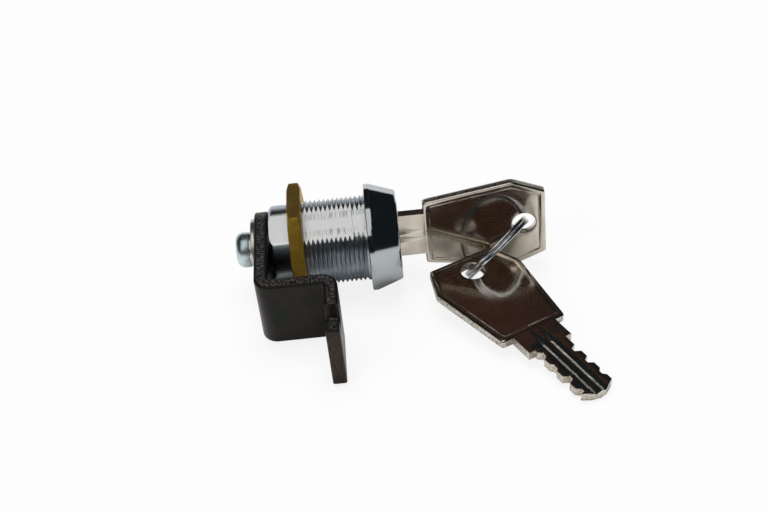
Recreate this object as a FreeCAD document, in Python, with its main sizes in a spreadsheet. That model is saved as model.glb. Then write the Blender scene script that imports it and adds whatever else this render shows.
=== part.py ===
import FreeCAD, Part
import math
import os
import Sketcher
from FreeCAD import Placement, Rotation, Vector

# Mailbox cam lock with a key in it, a spare key and a split ring.
# The lock's axis is X, and +X points out of the front, to the key.
# The origin is on that axis, in the plane of the head's seating face.
# +Z is up from the surface that the lock lies on, on a flat of its nut and the rim of its head.

# Driving dimensions, in millimetres and degrees

SIZES = [
    ("running_gap", 0.05, "radial clearance of a part that turns"),
    ("slide_gap", 0.10, "clearance each side of a part that slides"),
    ("lock_roll", 28.5, "turn of the body's flats from level, as the lock lies"),
    ("plug_roll", 91.0, "turn of the plug and its key from level, as the lock lies"),

    ("head_rim_radius", 11.9, "head: radius of the rim, and half the nut across its flats"),
    ("head_rim_length", 1.15, "head: length of the rim"),
    ("head_front_radius", 10.0, "head: radius of the front edge"),
    ("head_length", 6.9, "head: seating face to front"),
    ("front_chamfer", 0.3, "head: chamfer round the front"),
    ("barrel_length", 21.4, "barrel: seating face to rear end"),
    ("thread_radius", 9.5, "barrel: M19 thread"),
    ("thread_end", 17.0, "barrel: seating face to the last thread"),
    ("rear_radius", 9.1, "barrel: radius behind the thread"),
    ("rear_chamfer", 0.6, "barrel: chamfer at the rear end"),
    ("flats_across", 16.6, "barrel: across the two long flats"),
    ("pad_across", 17.1, "barrel: across the flats beside the head"),
    ("pad_length", 3.0, "barrel: length of the pads beside the head"),
    ("rear_flats_across", 17.2, "barrel: across the two short rear flats"),

    ("nut_thickness", 3.0, "nut: thickness"),
    ("nut_place", 13.9, "nut: seating face of the head to its front face"),
    ("nut_chamfer", 0.75, "nut: length of the chamfer on its corners"),
    ("nut_chamfer_angle", 30.0, "nut: angle of that chamfer from the face"),

    ("plug_radius", 6.5, "plug: radius in the bore"),
    ("plug_flange_radius", 7.6, "plug: radius of the front flange"),
    ("plug_flange_length", 1.0, "plug: thickness of the front flange"),
    ("plug_proud", 0.1, "plug: its face stands this far out of the head"),
    ("plug_stand", 0.2, "plug: the journal stands this far out of the rear"),
    ("tail_square", 7.0, "plug: across the square tail"),
    ("tail_round", 0.5, "plug: rounding of the tail's corners"),
    ("tail_short", 0.1, "plug: the tail ends this far inside the cam"),
    ("stop_lug_width", 2.4, "plug: width of the stop lug"),
    ("stop_lug_length", 1.6, "plug: length of the stop lug"),
    ("stop_turn", 90.0, "plug: turn between the stops"),
    ("stop_spare", 1.5, "plug: turn to spare at each stop"),

    ("wafer_first", 2.0, "wafers: plug's face to the middle of the first"),
    ("wafer_spacing", 2.05, "wafers: from one to the next"),
    ("wafer_thickness", 1.2, "wafers: thickness"),
    ("wafer_width", 6.0, "wafers: width"),
    ("wafer_travel", 0.75, "wafers: travel out of the plug"),
    ("ear_width", 1.3, "wafers: how far the spring's ear stands out"),
    ("ear_length", 1.2, "wafers: length of the ear"),
    ("ear_place", 0.7, "wafers: axis to the ear's near end"),
    ("ear_round", 0.3, "wafers: rounding of the window's and ear's corners"),
    ("spring_length", 2.4, "wafer springs: length between ear and plug"),
    ("spring_radius", 0.5, "wafer springs: outer radius"),
    ("spring_wire", 0.2, "wafer springs: wire diameter"),
    ("spring_turns", 4.0, "wafer springs: turns"),

    ("cam_width", 16.0, "cam: width of the strip"),
    ("cam_thickness", 3.0, "cam: thickness of the strip"),
    ("cam_step", 22.2, "cam: axis to the outer face of the cranked part"),
    ("cam_reach", 36.6, "cam: axis to the tip"),
    ("cam_crank", 17.6, "cam: rear face to the front face of the leg"),
    ("cam_bend_radius", 3.5, "cam: outer radius of its bends"),
    ("cam_turn", 96.0, "cam: turn of its arm from straight up"),
    ("notch_place", 28.9, "cam: axis to the near side of the hook's notch"),
    ("notch_length", 5.1, "cam: length of the notch"),
    ("notch_depth", 4.0, "cam: depth of the notch"),
    ("tip_round", 0.8, "cam: rounding of the tip's corners"),

    ("washer_radius", 6.7, "cam washer: radius"),
    ("washer_thickness", 1.0, "cam washer: thickness"),
    ("lock_washer_radius", 3.8, "spring washer: radius"),
    ("lock_washer_thickness", 0.9, "spring washer: thickness"),
    ("lock_washer_split", 0.5, "spring washer: width of the split"),
    ("screw_radius", 1.95, "cam screw: radius of the M4 shank"),
    ("screw_length", 12.0, "cam screw: length under the head"),
    ("screw_head_radius", 3.95, "cam screw: radius of the head"),
    ("screw_head_height", 3.1, "cam screw: height of the head"),
    ("screw_head_round", 1.7, "cam screw: rounding of the head's edge"),
    ("recess_width", 1.0, "cam screw: width of a slot of the cross recess"),
    ("recess_span", 4.2, "cam screw: span of the cross recess"),
    ("recess_depth", 1.9, "cam screw: depth of the cross recess"),

    ("blade_length", 16.5, "key: length of the blade"),
    ("blade_width", 8.0, "key: width of the blade"),
    ("key_thickness", 2.1, "key: thickness"),
    ("tooth_top", 0.7, "key: length of a cut's slope"),
    ("tooth_floor", 0.9, "key: length of a cut's floor"),
    ("tip_width", 2.6, "key: width of the blade's end"),
    ("tip_length", 1.6, "key: length of the tip's slopes"),
    ("shoulder_width", 11.0, "key: width of the shoulder"),
    ("shoulder_length", 5.5, "key: length of the shoulder"),
    ("bow_length", 27.1, "key: length of the bow"),
    ("bow_end_width", 16.2, "key: width of the bow's two ends"),
    ("bow_width", 22.4, "key: greatest width of the bow"),
    ("bow_widest", 7.2, "key: far end of the bow to its widest place"),
    ("bow_round", 1.6, "key: rounding of the bow's corners"),
    ("rim_width", 1.4, "key: width of the raised rim"),
    ("panel_depth", 0.2, "key: depth of the panel inside the rim"),
    ("hole_place", 4.8, "key: far end of the bow to the ring's hole"),
    ("hole_radius", 2.6, "key: radius of the ring's hole"),
    ("groove_width", 1.1, "key: width of the blade's groove"),
    ("groove_depth", 0.45, "key: depth of the blade's groove"),
    ("groove_past", 2.6, "key: how far the groove runs into the shoulder"),

    ("ring_radius", 9.3, "split ring: outer radius"),
    ("ring_wire_height", 1.1, "split ring: radial height of the wire"),
    ("ring_width", 1.8, "split ring: width of its two coils"),
    ("ring_groove", 0.25, "split ring: depth of the seam between the coils"),
    ("ring_azimuth", 30.7, "split ring: heading of the line to the first hole"),
    ("ring_rise", 25.6, "split ring: rise of that line"),
    ("ring_roll", 42.9, "split ring: roll about that line"),
    ("ring_angle_one", 5.4, "split ring: place of the first key on the wire"),
    ("ring_angle_two", 160.5, "split ring: place of the spare key on the wire"),
    ("ring_shift_one", 0.34, "split ring: wire off the first hole's middle"),
    ("spare_shift_out", -0.12, "spare key: hole off the wire, along that line"),
    ("spare_shift_side", 0.08, "spare key: hole off the wire, along the ring's axis"),
    ("spare_drop", 0.39, "spare key: hole hangs this far below the wire"),
    ("spare_heading", 119.35, "spare key: heading of its bow"),
    ("spare_pitch", 5.75, "spare key: rise of its bow"),
    ("spare_roll", 2.3, "spare key: roll about its length"),
]

# Depths of the key's cuts, from the tip of the plug's first wafer to its last
CUT_DEPTHS = [0.9, 1.3, 0.6, 1.1, 1.3, 0.7, 1.0]

document = FreeCAD.newDocument("mailbox_lock")
sheet = document.addObject("Spreadsheet::Sheet", "Sizes")


def cut_alias(index):
    """The name of a cut's depth in the sheet, by a letter, because a name that ends in a number is a cell."""
    return "cut_" + "abcdefghijkl"[index] + "_depth"


def fill_sheet():
    rows = list(SIZES)
    for index, depth in enumerate(CUT_DEPTHS):
        rows.append((cut_alias(index), depth, "key: depth of cut %d" % (index + 1)))
    for number, (alias, value, note) in enumerate(rows, start=1):
        sheet.set("A%d" % number, alias)
        sheet.set("B%d" % number, str(value))
        sheet.set("C%d" % number, note)
        sheet.setAlias("B%d" % number, alias)
    document.recompute()


def bound(text):
    """The expression with each size's name pointed at the sheet."""
    words = []
    word = ""
    for letter in text + " ":
        if letter.isalnum() or letter in "_.":
            word += letter
            continue
        words.append("Sizes." + word if word in ALIASES else word)
        words.append(letter)
        word = ""
    return "".join(words).strip()


def value(text):
    """The number that an expression gives, in millimetres or degrees."""
    result = sheet.evalExpression(bound(text))
    return float(getattr(result, "Value", result))


# Helpers that make bodies, sketches and features

def new_body(name):
    return document.addObject("PartDesign::Body", name)


def new_sketch(body, name, plane, offset="0"):
    """A sketch on one of the body's own planes, moved along its normal."""
    sketch = body.newObject("Sketcher::SketchObject", body.Name + "_" + name)
    face = [item for item in body.Origin.OriginFeatures if item.Role == plane][0]
    sketch.AttachmentSupport = [(face, "")]
    sketch.MapMode = "FlatFace"
    if offset != "0":
        sketch.setExpression("AttachmentOffset.Base.z", bound(offset))
    return sketch


def pin_point(sketch, geometry, end, across, up):
    """Hold one end of a line at a place given by two expressions."""
    pins = (("DistanceX", across, -2), ("DistanceY", up, -1))
    for kind, text, axis in pins:
        if abs(value(text)) < 1e-9:
            sketch.addConstraint(Sketcher.Constraint("PointOnObject", geometry, end, axis))
            continue
        row = sketch.addConstraint(Sketcher.Constraint(kind, -1, 1, geometry, end, value(text)))
        sketch.setExpression("Constraints[%d]" % row, bound(text))


def draw_polygon(sketch, points):
    """A closed outline through places given by pairs of expressions."""
    places = [Vector(value(across), value(up), 0) for across, up in points]
    count = len(places)
    first = sketch.GeometryCount
    for index in range(count):
        line = Part.LineSegment(places[index], places[(index + 1) % count])
        sketch.addGeometry(line, False)
    for index in range(count):
        following = first + (index + 1) % count
        sketch.addConstraint(Sketcher.Constraint("Coincident", first + index, 2, following, 1))
    for index, (across, up) in enumerate(points):
        pin_point(sketch, first + index, 1, across, up)


def draw_rectangle(sketch, low_across, high_across, low_up, high_up):
    draw_polygon(sketch, [(low_across, low_up), (high_across, low_up),
                          (high_across, high_up), (low_across, high_up)])


def draw_circle(sketch, radius, across="0"):
    middle = Vector(value(across), 0, 0)
    row = sketch.addGeometry(Part.Circle(middle, Vector(0, 0, 1), value(radius)), False)
    if across == "0":
        sketch.addConstraint(Sketcher.Constraint("Coincident", row, 3, -1, 1))
    else:
        pin_point(sketch, row, 3, across, "0")
    size = sketch.addConstraint(Sketcher.Constraint("Radius", row, value(radius)))
    sketch.setExpression("Constraints[%d]" % size, bound(radius))


def pad(body, name, sketch, length, both_ways=False, reverse=False):
    feature = body.newObject("PartDesign::Pad", body.Name + "_" + name)
    feature.Profile = sketch
    feature.setExpression("Length", bound(length))
    feature.Midplane = both_ways
    feature.Reversed = reverse
    document.recompute()
    return feature


def pocket(body, name, sketch, length=None, both_ways=False, reverse=False):
    """A pocket, through everything where no length is given. It must remove something."""
    before = body.Shape.Volume
    feature = body.newObject("PartDesign::Pocket", body.Name + "_" + name)
    feature.Profile = sketch
    feature.Midplane = both_ways
    feature.Reversed = reverse
    if length is None:
        feature.Type = "ThroughAll"
    else:
        feature.setExpression("Length", bound(length))
    document.recompute()
    if body.Shape.Volume > before - 1e-6:
        raise RuntimeError("nothing was cut by " + feature.Name)
    return feature


def revolve(body, name, sketch, axis="H_Axis", cut=False):
    kind = "PartDesign::Groove" if cut else "PartDesign::Revolution"
    feature = body.newObject(kind, body.Name + "_" + name)
    feature.Profile = sketch
    feature.ReferenceAxis = (sketch, [axis])
    feature.Angle = 360
    document.recompute()
    return feature


def round_edges(body, name, radius, wanted, chamfer=False):
    """Round or bevel the edges of the body that a test picks."""
    picked = []
    for index, edge in enumerate(body.Shape.Edges, start=1):
        if wanted(edge):
            picked.append("Edge%d" % index)
    if not picked:
        raise RuntimeError("no edge was picked for " + name)
    kind = "PartDesign::Chamfer" if chamfer else "PartDesign::Fillet"
    base = body.Tip
    feature = body.newObject(kind, body.Name + "_" + name)
    feature.Base = (base, picked)
    feature.setExpression("Size" if chamfer else "Radius", bound(radius))
    document.recompute()
    return feature


def runs_along(edge, direction):
    """Whether an edge is straight and parallel to a direction."""
    if not isinstance(edge.Curve, Part.Line):
        return False
    return abs(abs(edge.Curve.Direction.dot(direction)) - 1) < 1e-6


def corner_test(direction, places):
    """A test for straight edges along a direction that pass near given places."""
    def wanted(edge):
        if not runs_along(edge, direction):
            return False
        middle = edge.CenterOfMass
        flat = middle - direction * middle.dot(direction)
        return any((flat - place).Length < 1e-3 for place in places)
    return wanted


def turned(angle, place=Vector(0, 0, 0)):
    """A placement turned about the lock's axis."""
    return Placement(place, Rotation(Vector(1, 0, 0), angle))


# Places along the axis that several pieces share

PLUG_FACE = "(head_length + plug_proud)"
CAM_FRONT = "(-barrel_length - plug_stand)"
CAM_REAR = "(-barrel_length - plug_stand - cam_thickness)"
WASHER_REAR = "(-barrel_length - plug_stand - cam_thickness - washer_thickness)"
SCREW_SEAT = ("(-barrel_length - plug_stand - cam_thickness - washer_thickness"
              " - lock_washer_thickness)")
BORE_RADIUS = "(plug_radius + running_gap)"
GROOVE_RADIUS = "(plug_radius + wafer_travel + slide_gap)"
GROOVE_HALF = "(wafer_width / 2 + slide_gap)"
WINDOW_HALF = "(blade_width / 2 + wafer_travel + slide_gap)"
WINDOW_RISE = "(key_thickness / 2 + slide_gap)"
KEYWAY_END = "(head_length + plug_proud - blade_length - 4 * slide_gap)"
STOP_ANGLE = "(stop_turn / 2)"


def wafer_place(index):
    """Middle of a wafer along the axis, as an expression."""
    return "(head_length + plug_proud - wafer_first - %d * wafer_spacing)" % index


# Lock body: head, barrel with its flats, bore, wafer grooves and stop recess

def make_lock_body():
    body = new_body("lock_body")
    outline = new_sketch(body, "outline", "XY_Plane")
    draw_polygon(outline, [
        ("-barrel_length", BORE_RADIUS),
        ("-barrel_length", "rear_radius - rear_chamfer"),
        ("rear_chamfer - barrel_length", "rear_radius"),
        ("-thread_end", "rear_radius"),
        ("-thread_end", "thread_radius"),
        ("0", "thread_radius"),
        ("0", "head_rim_radius"),
        ("head_rim_length", "head_rim_radius"),
        ("head_length - front_chamfer", "head_front_radius"),
        ("head_length", "head_front_radius - front_chamfer"),
        ("head_length", "plug_flange_radius + running_gap"),
        (PLUG_FACE + " - plug_flange_length - running_gap", "plug_flange_radius + running_gap"),
        (PLUG_FACE + " - plug_flange_length - running_gap", BORE_RADIUS),
    ])
    revolve(body, "turned", outline)

    limit = "head_rim_radius"
    flats = new_sketch(body, "flats", "YZ_Plane", "-pad_length")
    draw_rectangle(flats, "-" + limit, limit, "flats_across / 2", limit)
    draw_rectangle(flats, "-" + limit, limit, "-" + limit, "-flats_across / 2")
    pocket(body, "long_flats", flats, "barrel_length")

    pads = new_sketch(body, "pads", "YZ_Plane")
    draw_rectangle(pads, "-" + limit, limit, "pad_across / 2", limit)
    draw_rectangle(pads, "-" + limit, limit, "-" + limit, "-pad_across / 2")
    pocket(body, "pad_flats", pads, "pad_length")

    rear = new_sketch(body, "rear", "YZ_Plane", "-thread_end")
    draw_rectangle(rear, "rear_flats_across / 2", limit, "-" + limit, limit)
    draw_rectangle(rear, "-" + limit, "-rear_flats_across / 2", "-" + limit, limit)
    pocket(body, "rear_flats", rear, "barrel_length - thread_end")

    for name, across, up in (("cross", GROOVE_RADIUS, GROOVE_HALF),
                             ("upright", GROOVE_HALF, GROOVE_RADIUS)):
        groove = new_sketch(body, name, "YZ_Plane", wafer_place(0) + " + wafer_spacing / 2")
        draw_rectangle(groove, "-" + across, across, "-" + up, up)
        turn_with_plug(groove)
        pocket(body, name + "_grooves", groove, wafer_place(0) + " + barrel_length + wafer_spacing")

    recess = new_sketch(body, "recess", "YZ_Plane", "-barrel_length")
    draw_sector(recess, GROOVE_RADIUS,
                "stop_turn / 2 + stop_spare + stop_lug_width / 2 / plug_radius * 180 / pi")
    turn_with_plug(recess)
    pocket(body, "stop_recess", recess, "stop_lug_length + 4 * slide_gap", reverse=True)
    return body


def turn_with_plug(sketch):
    """Turns a sketch of the body to where the plug stands at rest."""
    sketch.setExpression("AttachmentOffset.Rotation.Angle", bound("plug_roll - lock_roll"))


def draw_sector(sketch, radius, half_angle):
    """A slice of a disc, the same angle each side of the sketch's first axis."""
    span = value(radius)
    turn = math.radians(value(half_angle))
    low = Vector(span * math.cos(turn), -span * math.sin(turn), 0)
    high = Vector(span * math.cos(turn), span * math.sin(turn), 0)
    middle = Vector(0, 0, 0)
    circle = Part.Circle(middle, Vector(0, 0, 1), span)
    lower = sketch.addGeometry(Part.LineSegment(middle, low), False)
    arc = sketch.addGeometry(Part.ArcOfCircle(circle, -turn, turn), False)
    upper = sketch.addGeometry(Part.LineSegment(high, middle), False)
    sketch.addConstraint(Sketcher.Constraint("Coincident", lower, 1, -1, 1))
    sketch.addConstraint(Sketcher.Constraint("Coincident", lower, 2, arc, 1))
    sketch.addConstraint(Sketcher.Constraint("Coincident", arc, 2, upper, 1))
    sketch.addConstraint(Sketcher.Constraint("Coincident", upper, 2, -1, 1))
    sketch.addConstraint(Sketcher.Constraint("Coincident", arc, 3, -1, 1))
    size = sketch.addConstraint(Sketcher.Constraint("Radius", arc, span))
    sketch.setExpression("Constraints[%d]" % size, bound(radius))
    sketch.addConstraint(Sketcher.Constraint("Symmetric", arc, 1, arc, 2, -1))
    height = "2 * (%s) * sin((%s) * 1deg)" % (radius, half_angle)
    row = sketch.addConstraint(
        Sketcher.Constraint("DistanceY", arc, 1, arc, 2, 2 * span * math.sin(turn)))
    sketch.setExpression("Constraints[%d]" % row, bound(height))


# Fixing nut: a thin hexagon with chamfered corners

def make_fixing_nut():
    body = new_body("fixing_nut")
    hexagon = new_sketch(body, "hexagon", "YZ_Plane", "-nut_place")
    corner = "head_rim_radius / cos(30deg)"
    points = []
    for step in range(6):
        points.append(("%s * cos(%ddeg)" % (corner, 60 * step),
                       "%s * sin(%ddeg)" % (corner, 60 * step)))
    draw_polygon(hexagon, points)
    draw_circle(hexagon, "thread_radius")
    pad(body, "plate", hexagon, "nut_thickness", reverse=True)

    bevel = new_sketch(body, "bevel", "XY_Plane")
    outer = corner + " + nut_chamfer"
    foot = corner + " - nut_chamfer / tan(nut_chamfer_angle * 1deg)"
    for face, inward in (("-nut_place", "-1"), ("-nut_place - nut_thickness", "1")):
        draw_polygon(bevel, [(face, foot),
                             (face, outer),
                             ("%s + (%s) * (nut_chamfer + nut_chamfer * tan(nut_chamfer_angle * 1deg))"
                              % (face, inward), outer)])
    revolve(body, "chamfer", bevel, cut=True)
    return body


# Plug: turns in the barrel, carries the wafers, and ends in the cam's square tail

def make_plug():
    body = new_body("plug")
    outline = new_sketch(body, "outline", "XY_Plane")
    draw_polygon(outline, [
        (CAM_FRONT, "0"),
        (CAM_FRONT, "plug_radius"),
        (PLUG_FACE + " - plug_flange_length", "plug_radius"),
        (PLUG_FACE + " - plug_flange_length", "plug_flange_radius"),
        (PLUG_FACE, "plug_flange_radius"),
        (PLUG_FACE, "0"),
    ])
    revolve(body, "turned", outline)

    lug = new_sketch(body, "lug", "YZ_Plane", "-barrel_length + slide_gap")
    reach = GROOVE_RADIUS + " - slide_gap"
    draw_slanted_lug(lug, reach)
    pad(body, "stop_lug", lug, "stop_lug_length")

    tail = new_sketch(body, "tail", "YZ_Plane", CAM_FRONT)
    draw_rectangle(tail, "-tail_square / 2", "tail_square / 2",
                   "-tail_square / 2", "tail_square / 2")
    tail.setExpression("AttachmentOffset.Rotation.Angle", bound("cam_turn - plug_roll"))
    pad(body, "square_tail", tail, "cam_thickness - tail_short", reverse=True)
    tail_end = value(CAM_REAR)
    round_edges(body, "tail_corners", "tail_round",
                lambda edge: (runs_along(edge, Vector(1, 0, 0))
                              and edge.BoundBox.XMax < value(CAM_FRONT) + 1e-4
                              and edge.BoundBox.XMin > tail_end - 1e-4))

    keyway = new_sketch(body, "keyway", "YZ_Plane", PLUG_FACE)
    draw_rectangle(keyway, "-blade_width / 2 - slide_gap", "blade_width / 2 + slide_gap",
                   "-" + WINDOW_RISE, WINDOW_RISE)
    pocket(body, "keyway_slot", keyway, "%s - %s" % (PLUG_FACE, KEYWAY_END))

    for index in range(len(CUT_DEPTHS)):
        side = 1 if index % 2 == 0 else -1
        start = "%s + wafer_thickness / 2 + slide_gap / 2" % wafer_place(index)
        slot = new_sketch(body, "slot_%d" % (index + 1), "YZ_Plane", start)
        draw_wafer_slot(slot, side)
        pocket(body, "wafer_slot_%d" % (index + 1), slot, "wafer_thickness + slide_gap")

    hole = new_sketch(body, "hole", "YZ_Plane", CAM_REAR)
    draw_circle(hole, "screw_radius")
    pocket(body, "screw_hole", hole, "screw_length", reverse=True)
    return body


def draw_slanted_lug(sketch, reach):
    """The stop lug's section: a bar that points half the stop turn up from the first axis."""
    half = "stop_lug_width / 2"
    start = "plug_radius / 2"
    cosine = "cos(%s * 1deg)" % STOP_ANGLE
    sine = "sin(%s * 1deg)" % STOP_ANGLE
    corners = []
    for along, side in ((start, "-1"), (reach, "-1"), (reach, "1"), (start, "1")):
        corners.append(("(%s) * %s - (%s) * %s * %s" % (along, cosine, side, half, sine),
                        "(%s) * %s + (%s) * %s * %s" % (along, sine, side, half, cosine)))
    draw_polygon(sketch, corners)


def draw_wafer_slot(sketch, side):
    """The slot right through the plug, with the longer place for the ear and its spring."""
    reach = "(plug_radius + 1)"
    near = "-ear_place + wafer_travel + slide_gap"
    far = "-ear_place - ear_length - spring_length"
    top = "(wafer_width / 2 + ear_width + slide_gap)"
    points = [
        ("-" + reach, "-" + GROOVE_HALF),
        (reach, "-" + GROOVE_HALF),
        (reach, GROOVE_HALF),
        (near, GROOVE_HALF),
        (near, top),
        (far, top),
        (far, GROOVE_HALF),
        ("-" + reach, GROOVE_HALF),
    ]
    if side < 0:
        points = [("-(%s)" % across, "-(%s)" % up) for across, up in points]
    draw_polygon(sketch, points)


# Wafers: plates with a window for the blade and an ear for the spring

def make_wafer(index):
    side = 1 if index % 2 == 0 else -1
    body = new_body("wafer_%d" % (index + 1))
    disc = new_sketch(body, "disc", "YZ_Plane", "-wafer_thickness / 2")
    draw_circle(disc, "plug_radius")
    pad(body, "blank", disc, "wafer_thickness")

    limit = "(plug_radius + 1)"
    trim = new_sketch(body, "trim", "YZ_Plane")
    ear_top = "(wafer_width / 2 + ear_width)"
    draw_rectangle(trim, "-" + limit, limit, "-" + limit, "-wafer_width / 2")
    draw_polygon(trim, [
        ("-" + limit, "wafer_width / 2"),
        ("-ear_place - ear_length", "wafer_width / 2"),
        ("-ear_place - ear_length", ear_top),
        ("-ear_place", ear_top),
        ("-ear_place", "wafer_width / 2"),
        (limit, "wafer_width / 2"),
        (limit, limit),
        ("-" + limit, limit),
    ])
    pocket(body, "sides", trim, both_ways=True)

    window = new_sketch(body, "window", "YZ_Plane")
    draw_rectangle(window, "-" + WINDOW_HALF, WINDOW_HALF, "-" + WINDOW_RISE, WINDOW_RISE)
    pocket(body, "blade_window", window, both_ways=True)
    window_corners = []
    for across in (-1, 1):
        for up in (-1, 1):
            window_corners.append(Vector(0, across * value(WINDOW_HALF), up * value(WINDOW_RISE)))
    round_edges(body, "corners", "ear_round", corner_test(Vector(1, 0, 0), window_corners))
    place = Vector(value(wafer_place(index)), 0, 0)
    body.Placement = turned(value("plug_roll") + (0 if side > 0 else 180), place)
    return body


# Wafer springs: small coils between each wafer's ear and the plug

def make_wafer_spring(index):
    side = 1 if index % 2 == 0 else -1
    wire = value("spring_wire") / 2
    coil = value("spring_radius") - wire
    length = value("spring_length") - 2 * wire
    path = Part.makeHelix(length / value("spring_turns"), length, coil)
    start = Vector(coil, 0, 0)
    section = Part.Wire([Part.makeCircle(wire, start, Vector(0, 1, 0))])
    solid = Part.Wire(path.Edges).makePipeShell([section], True, True)
    spring = document.addObject("Part::Feature", "wafer_spring_%d" % (index + 1))
    spring.Shape = solid
    rise = value("wafer_width / 2 + ear_width / 2")
    foot = Vector(0, -value("ear_place + ear_length") - wire, rise)
    lay_down = Placement(foot, Rotation(Vector(1, 0, 0), 90))
    place = Vector(value(wafer_place(index)), 0, 0)
    spring.Placement = turned(value("plug_roll") + (0 if side > 0 else 180), place) * lay_down
    return spring


# Cam: a cranked steel strip with a round hub and a hook's notch in its tip

def make_cam():
    body = new_body("cam")
    hub = new_sketch(body, "hub", "YZ_Plane", CAM_REAR)
    draw_circle(hub, "cam_width / 2")
    pad(body, "hub_disc", hub, "cam_thickness")

    strip = new_sketch(body, "strip", "XZ_Plane")
    leg_front = CAM_REAR + " + cam_crank"
    draw_polygon(strip, [
        (CAM_REAR, "0"),
        (CAM_REAR, "cam_step"),
        (leg_front + " - cam_thickness", "cam_step"),
        (leg_front + " - cam_thickness", "cam_reach"),
        (leg_front, "cam_reach"),
        (leg_front, "cam_step - cam_thickness"),
        (CAM_FRONT, "cam_step - cam_thickness"),
        (CAM_FRONT, "0"),
    ])
    pad(body, "cranked_strip", strip, "cam_width", both_ways=True)
    outer = [Vector(value(CAM_REAR), 0, value("cam_step")),
             Vector(value(leg_front), 0, value("cam_step - cam_thickness"))]
    inner = [Vector(value(leg_front + " - cam_thickness"), 0, value("cam_step")),
             Vector(value(CAM_FRONT), 0, value("cam_step - cam_thickness"))]
    across = Vector(0, 1, 0)
    round_edges(body, "outer_bends", "cam_bend_radius", corner_test(across, outer))
    round_edges(body, "inner_bends", "cam_bend_radius - cam_thickness",
                corner_test(across, inner))

    square = new_sketch(body, "square", "YZ_Plane")
    half = "(tail_square / 2 + running_gap)"
    draw_rectangle(square, "-" + half, half, "-" + half, half)
    pocket(body, "square_hole", square, both_ways=True)

    notch = new_sketch(body, "notch", "YZ_Plane")
    draw_rectangle(notch, "cam_width / 2 - notch_depth", "cam_width",
                   "notch_place", "notch_place + notch_length")
    pocket(body, "hook_notch", notch, both_ways=True)
    tips = []
    for side in (-1, 1):
        tips.append(Vector(0, side * value("cam_width / 2"), value("cam_reach")))
    for end in ("notch_place", "notch_place + notch_length"):
        tips.append(Vector(0, value("cam_width / 2 - notch_depth"), value(end)))
    round_edges(body, "tip_corners", "tip_round", corner_test(Vector(1, 0, 0), tips))
    body.Placement = turned(value("cam_turn"))
    return body


# Washers and screw that hold the cam

def make_cam_washer():
    body = new_body("cam_washer")
    ring = new_sketch(body, "ring", "YZ_Plane", WASHER_REAR)
    draw_circle(ring, "washer_radius")
    draw_circle(ring, "screw_radius + 2 * slide_gap")
    pad(body, "plate", ring, "washer_thickness")
    return body


def make_spring_washer():
    body = new_body("spring_washer")
    ring = new_sketch(body, "ring", "YZ_Plane", SCREW_SEAT)
    draw_circle(ring, "lock_washer_radius")
    draw_circle(ring, "screw_radius + slide_gap")
    pad(body, "coil", ring, "lock_washer_thickness")
    split = new_sketch(body, "split", "YZ_Plane")
    draw_rectangle(split, "0", "lock_washer_radius + 1",
                   "-lock_washer_split / 2", "lock_washer_split / 2")
    pocket(body, "split_cut", split, both_ways=True)
    body.Placement = turned(value("plug_roll"))
    return body


def make_cam_screw():
    body = new_body("cam_screw")
    outline = new_sketch(body, "outline", "XY_Plane")
    head_end = SCREW_SEAT + " - screw_head_height"
    draw_polygon(outline, [
        (head_end, "0"),
        (head_end, "screw_head_radius"),
        (SCREW_SEAT, "screw_head_radius"),
        (SCREW_SEAT, "screw_radius"),
        (SCREW_SEAT + " + screw_length - screw_radius / 2", "screw_radius"),
        (SCREW_SEAT + " + screw_length", "screw_radius / 2"),
        (SCREW_SEAT + " + screw_length", "0"),
    ])
    revolve(body, "turned", outline)
    rear = value(head_end)
    round_edges(body, "pan_edge", "screw_head_round",
                lambda edge: (isinstance(edge.Curve, Part.Circle)
                              and abs(edge.CenterOfMass.x - rear) < 1e-4))
    recess = new_sketch(body, "recess", "YZ_Plane", head_end)
    half_span = "recess_span / 2"
    half_width = "recess_width / 2"
    cross = [(half_width, half_width), (half_width, half_span), ("-" + half_width, half_span),
             ("-" + half_width, half_width), ("-" + half_span, half_width),
             ("-" + half_span, "-" + half_width), ("-" + half_width, "-" + half_width),
             ("-" + half_width, "-" + half_span), (half_width, "-" + half_span),
             (half_width, "-" + half_width), (half_span, "-" + half_width),
             (half_span, half_width)]
    draw_polygon(recess, cross)
    pocket(body, "cross_recess", recess, "recess_depth", reverse=True)
    body.Placement = turned(value("plug_roll"))
    return body


# Keys: a blade cut on both edges, a wide shoulder and a six-sided bow

def key_outline():
    """Half of the key's outline for each side, from the bow's end to the blade's tip."""
    bow_start = "shoulder_length"
    bow_end = "shoulder_length + bow_length"
    halves = {}
    for side, sign in ((0, ""), (1, "-")):
        points = [
            (bow_end, sign + "bow_end_width / 2"),
            (bow_end + " - bow_widest", sign + "bow_width / 2"),
            (bow_start, sign + "bow_end_width / 2"),
            (bow_start, sign + "shoulder_width / 2"),
            ("0", sign + "shoulder_width / 2"),
            ("0", sign + "blade_width / 2"),
        ]
        for index in range(len(CUT_DEPTHS)):
            if index % 2 != side:
                continue
            middle = "(-wafer_first - %d * wafer_spacing)" % index
            floor = sign + "(blade_width / 2 - %s)" % cut_alias(index)
            top = sign + "blade_width / 2"
            points.append((middle + " + tooth_floor / 2 + tooth_top", top))
            points.append((middle + " + tooth_floor / 2", floor))
            points.append((middle + " - tooth_floor / 2", floor))
            points.append((middle + " - tooth_floor / 2 - tooth_top", top))
        tip_start = "-blade_length + tip_length"
        if value(points[-1][0]) > value(tip_start):
            points.append((tip_start, top))
        else:
            points.pop()
        points.append(("-blade_length", sign + "tip_width / 2"))
        halves[side] = points
    return halves[0] + halves[1][::-1]


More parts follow.
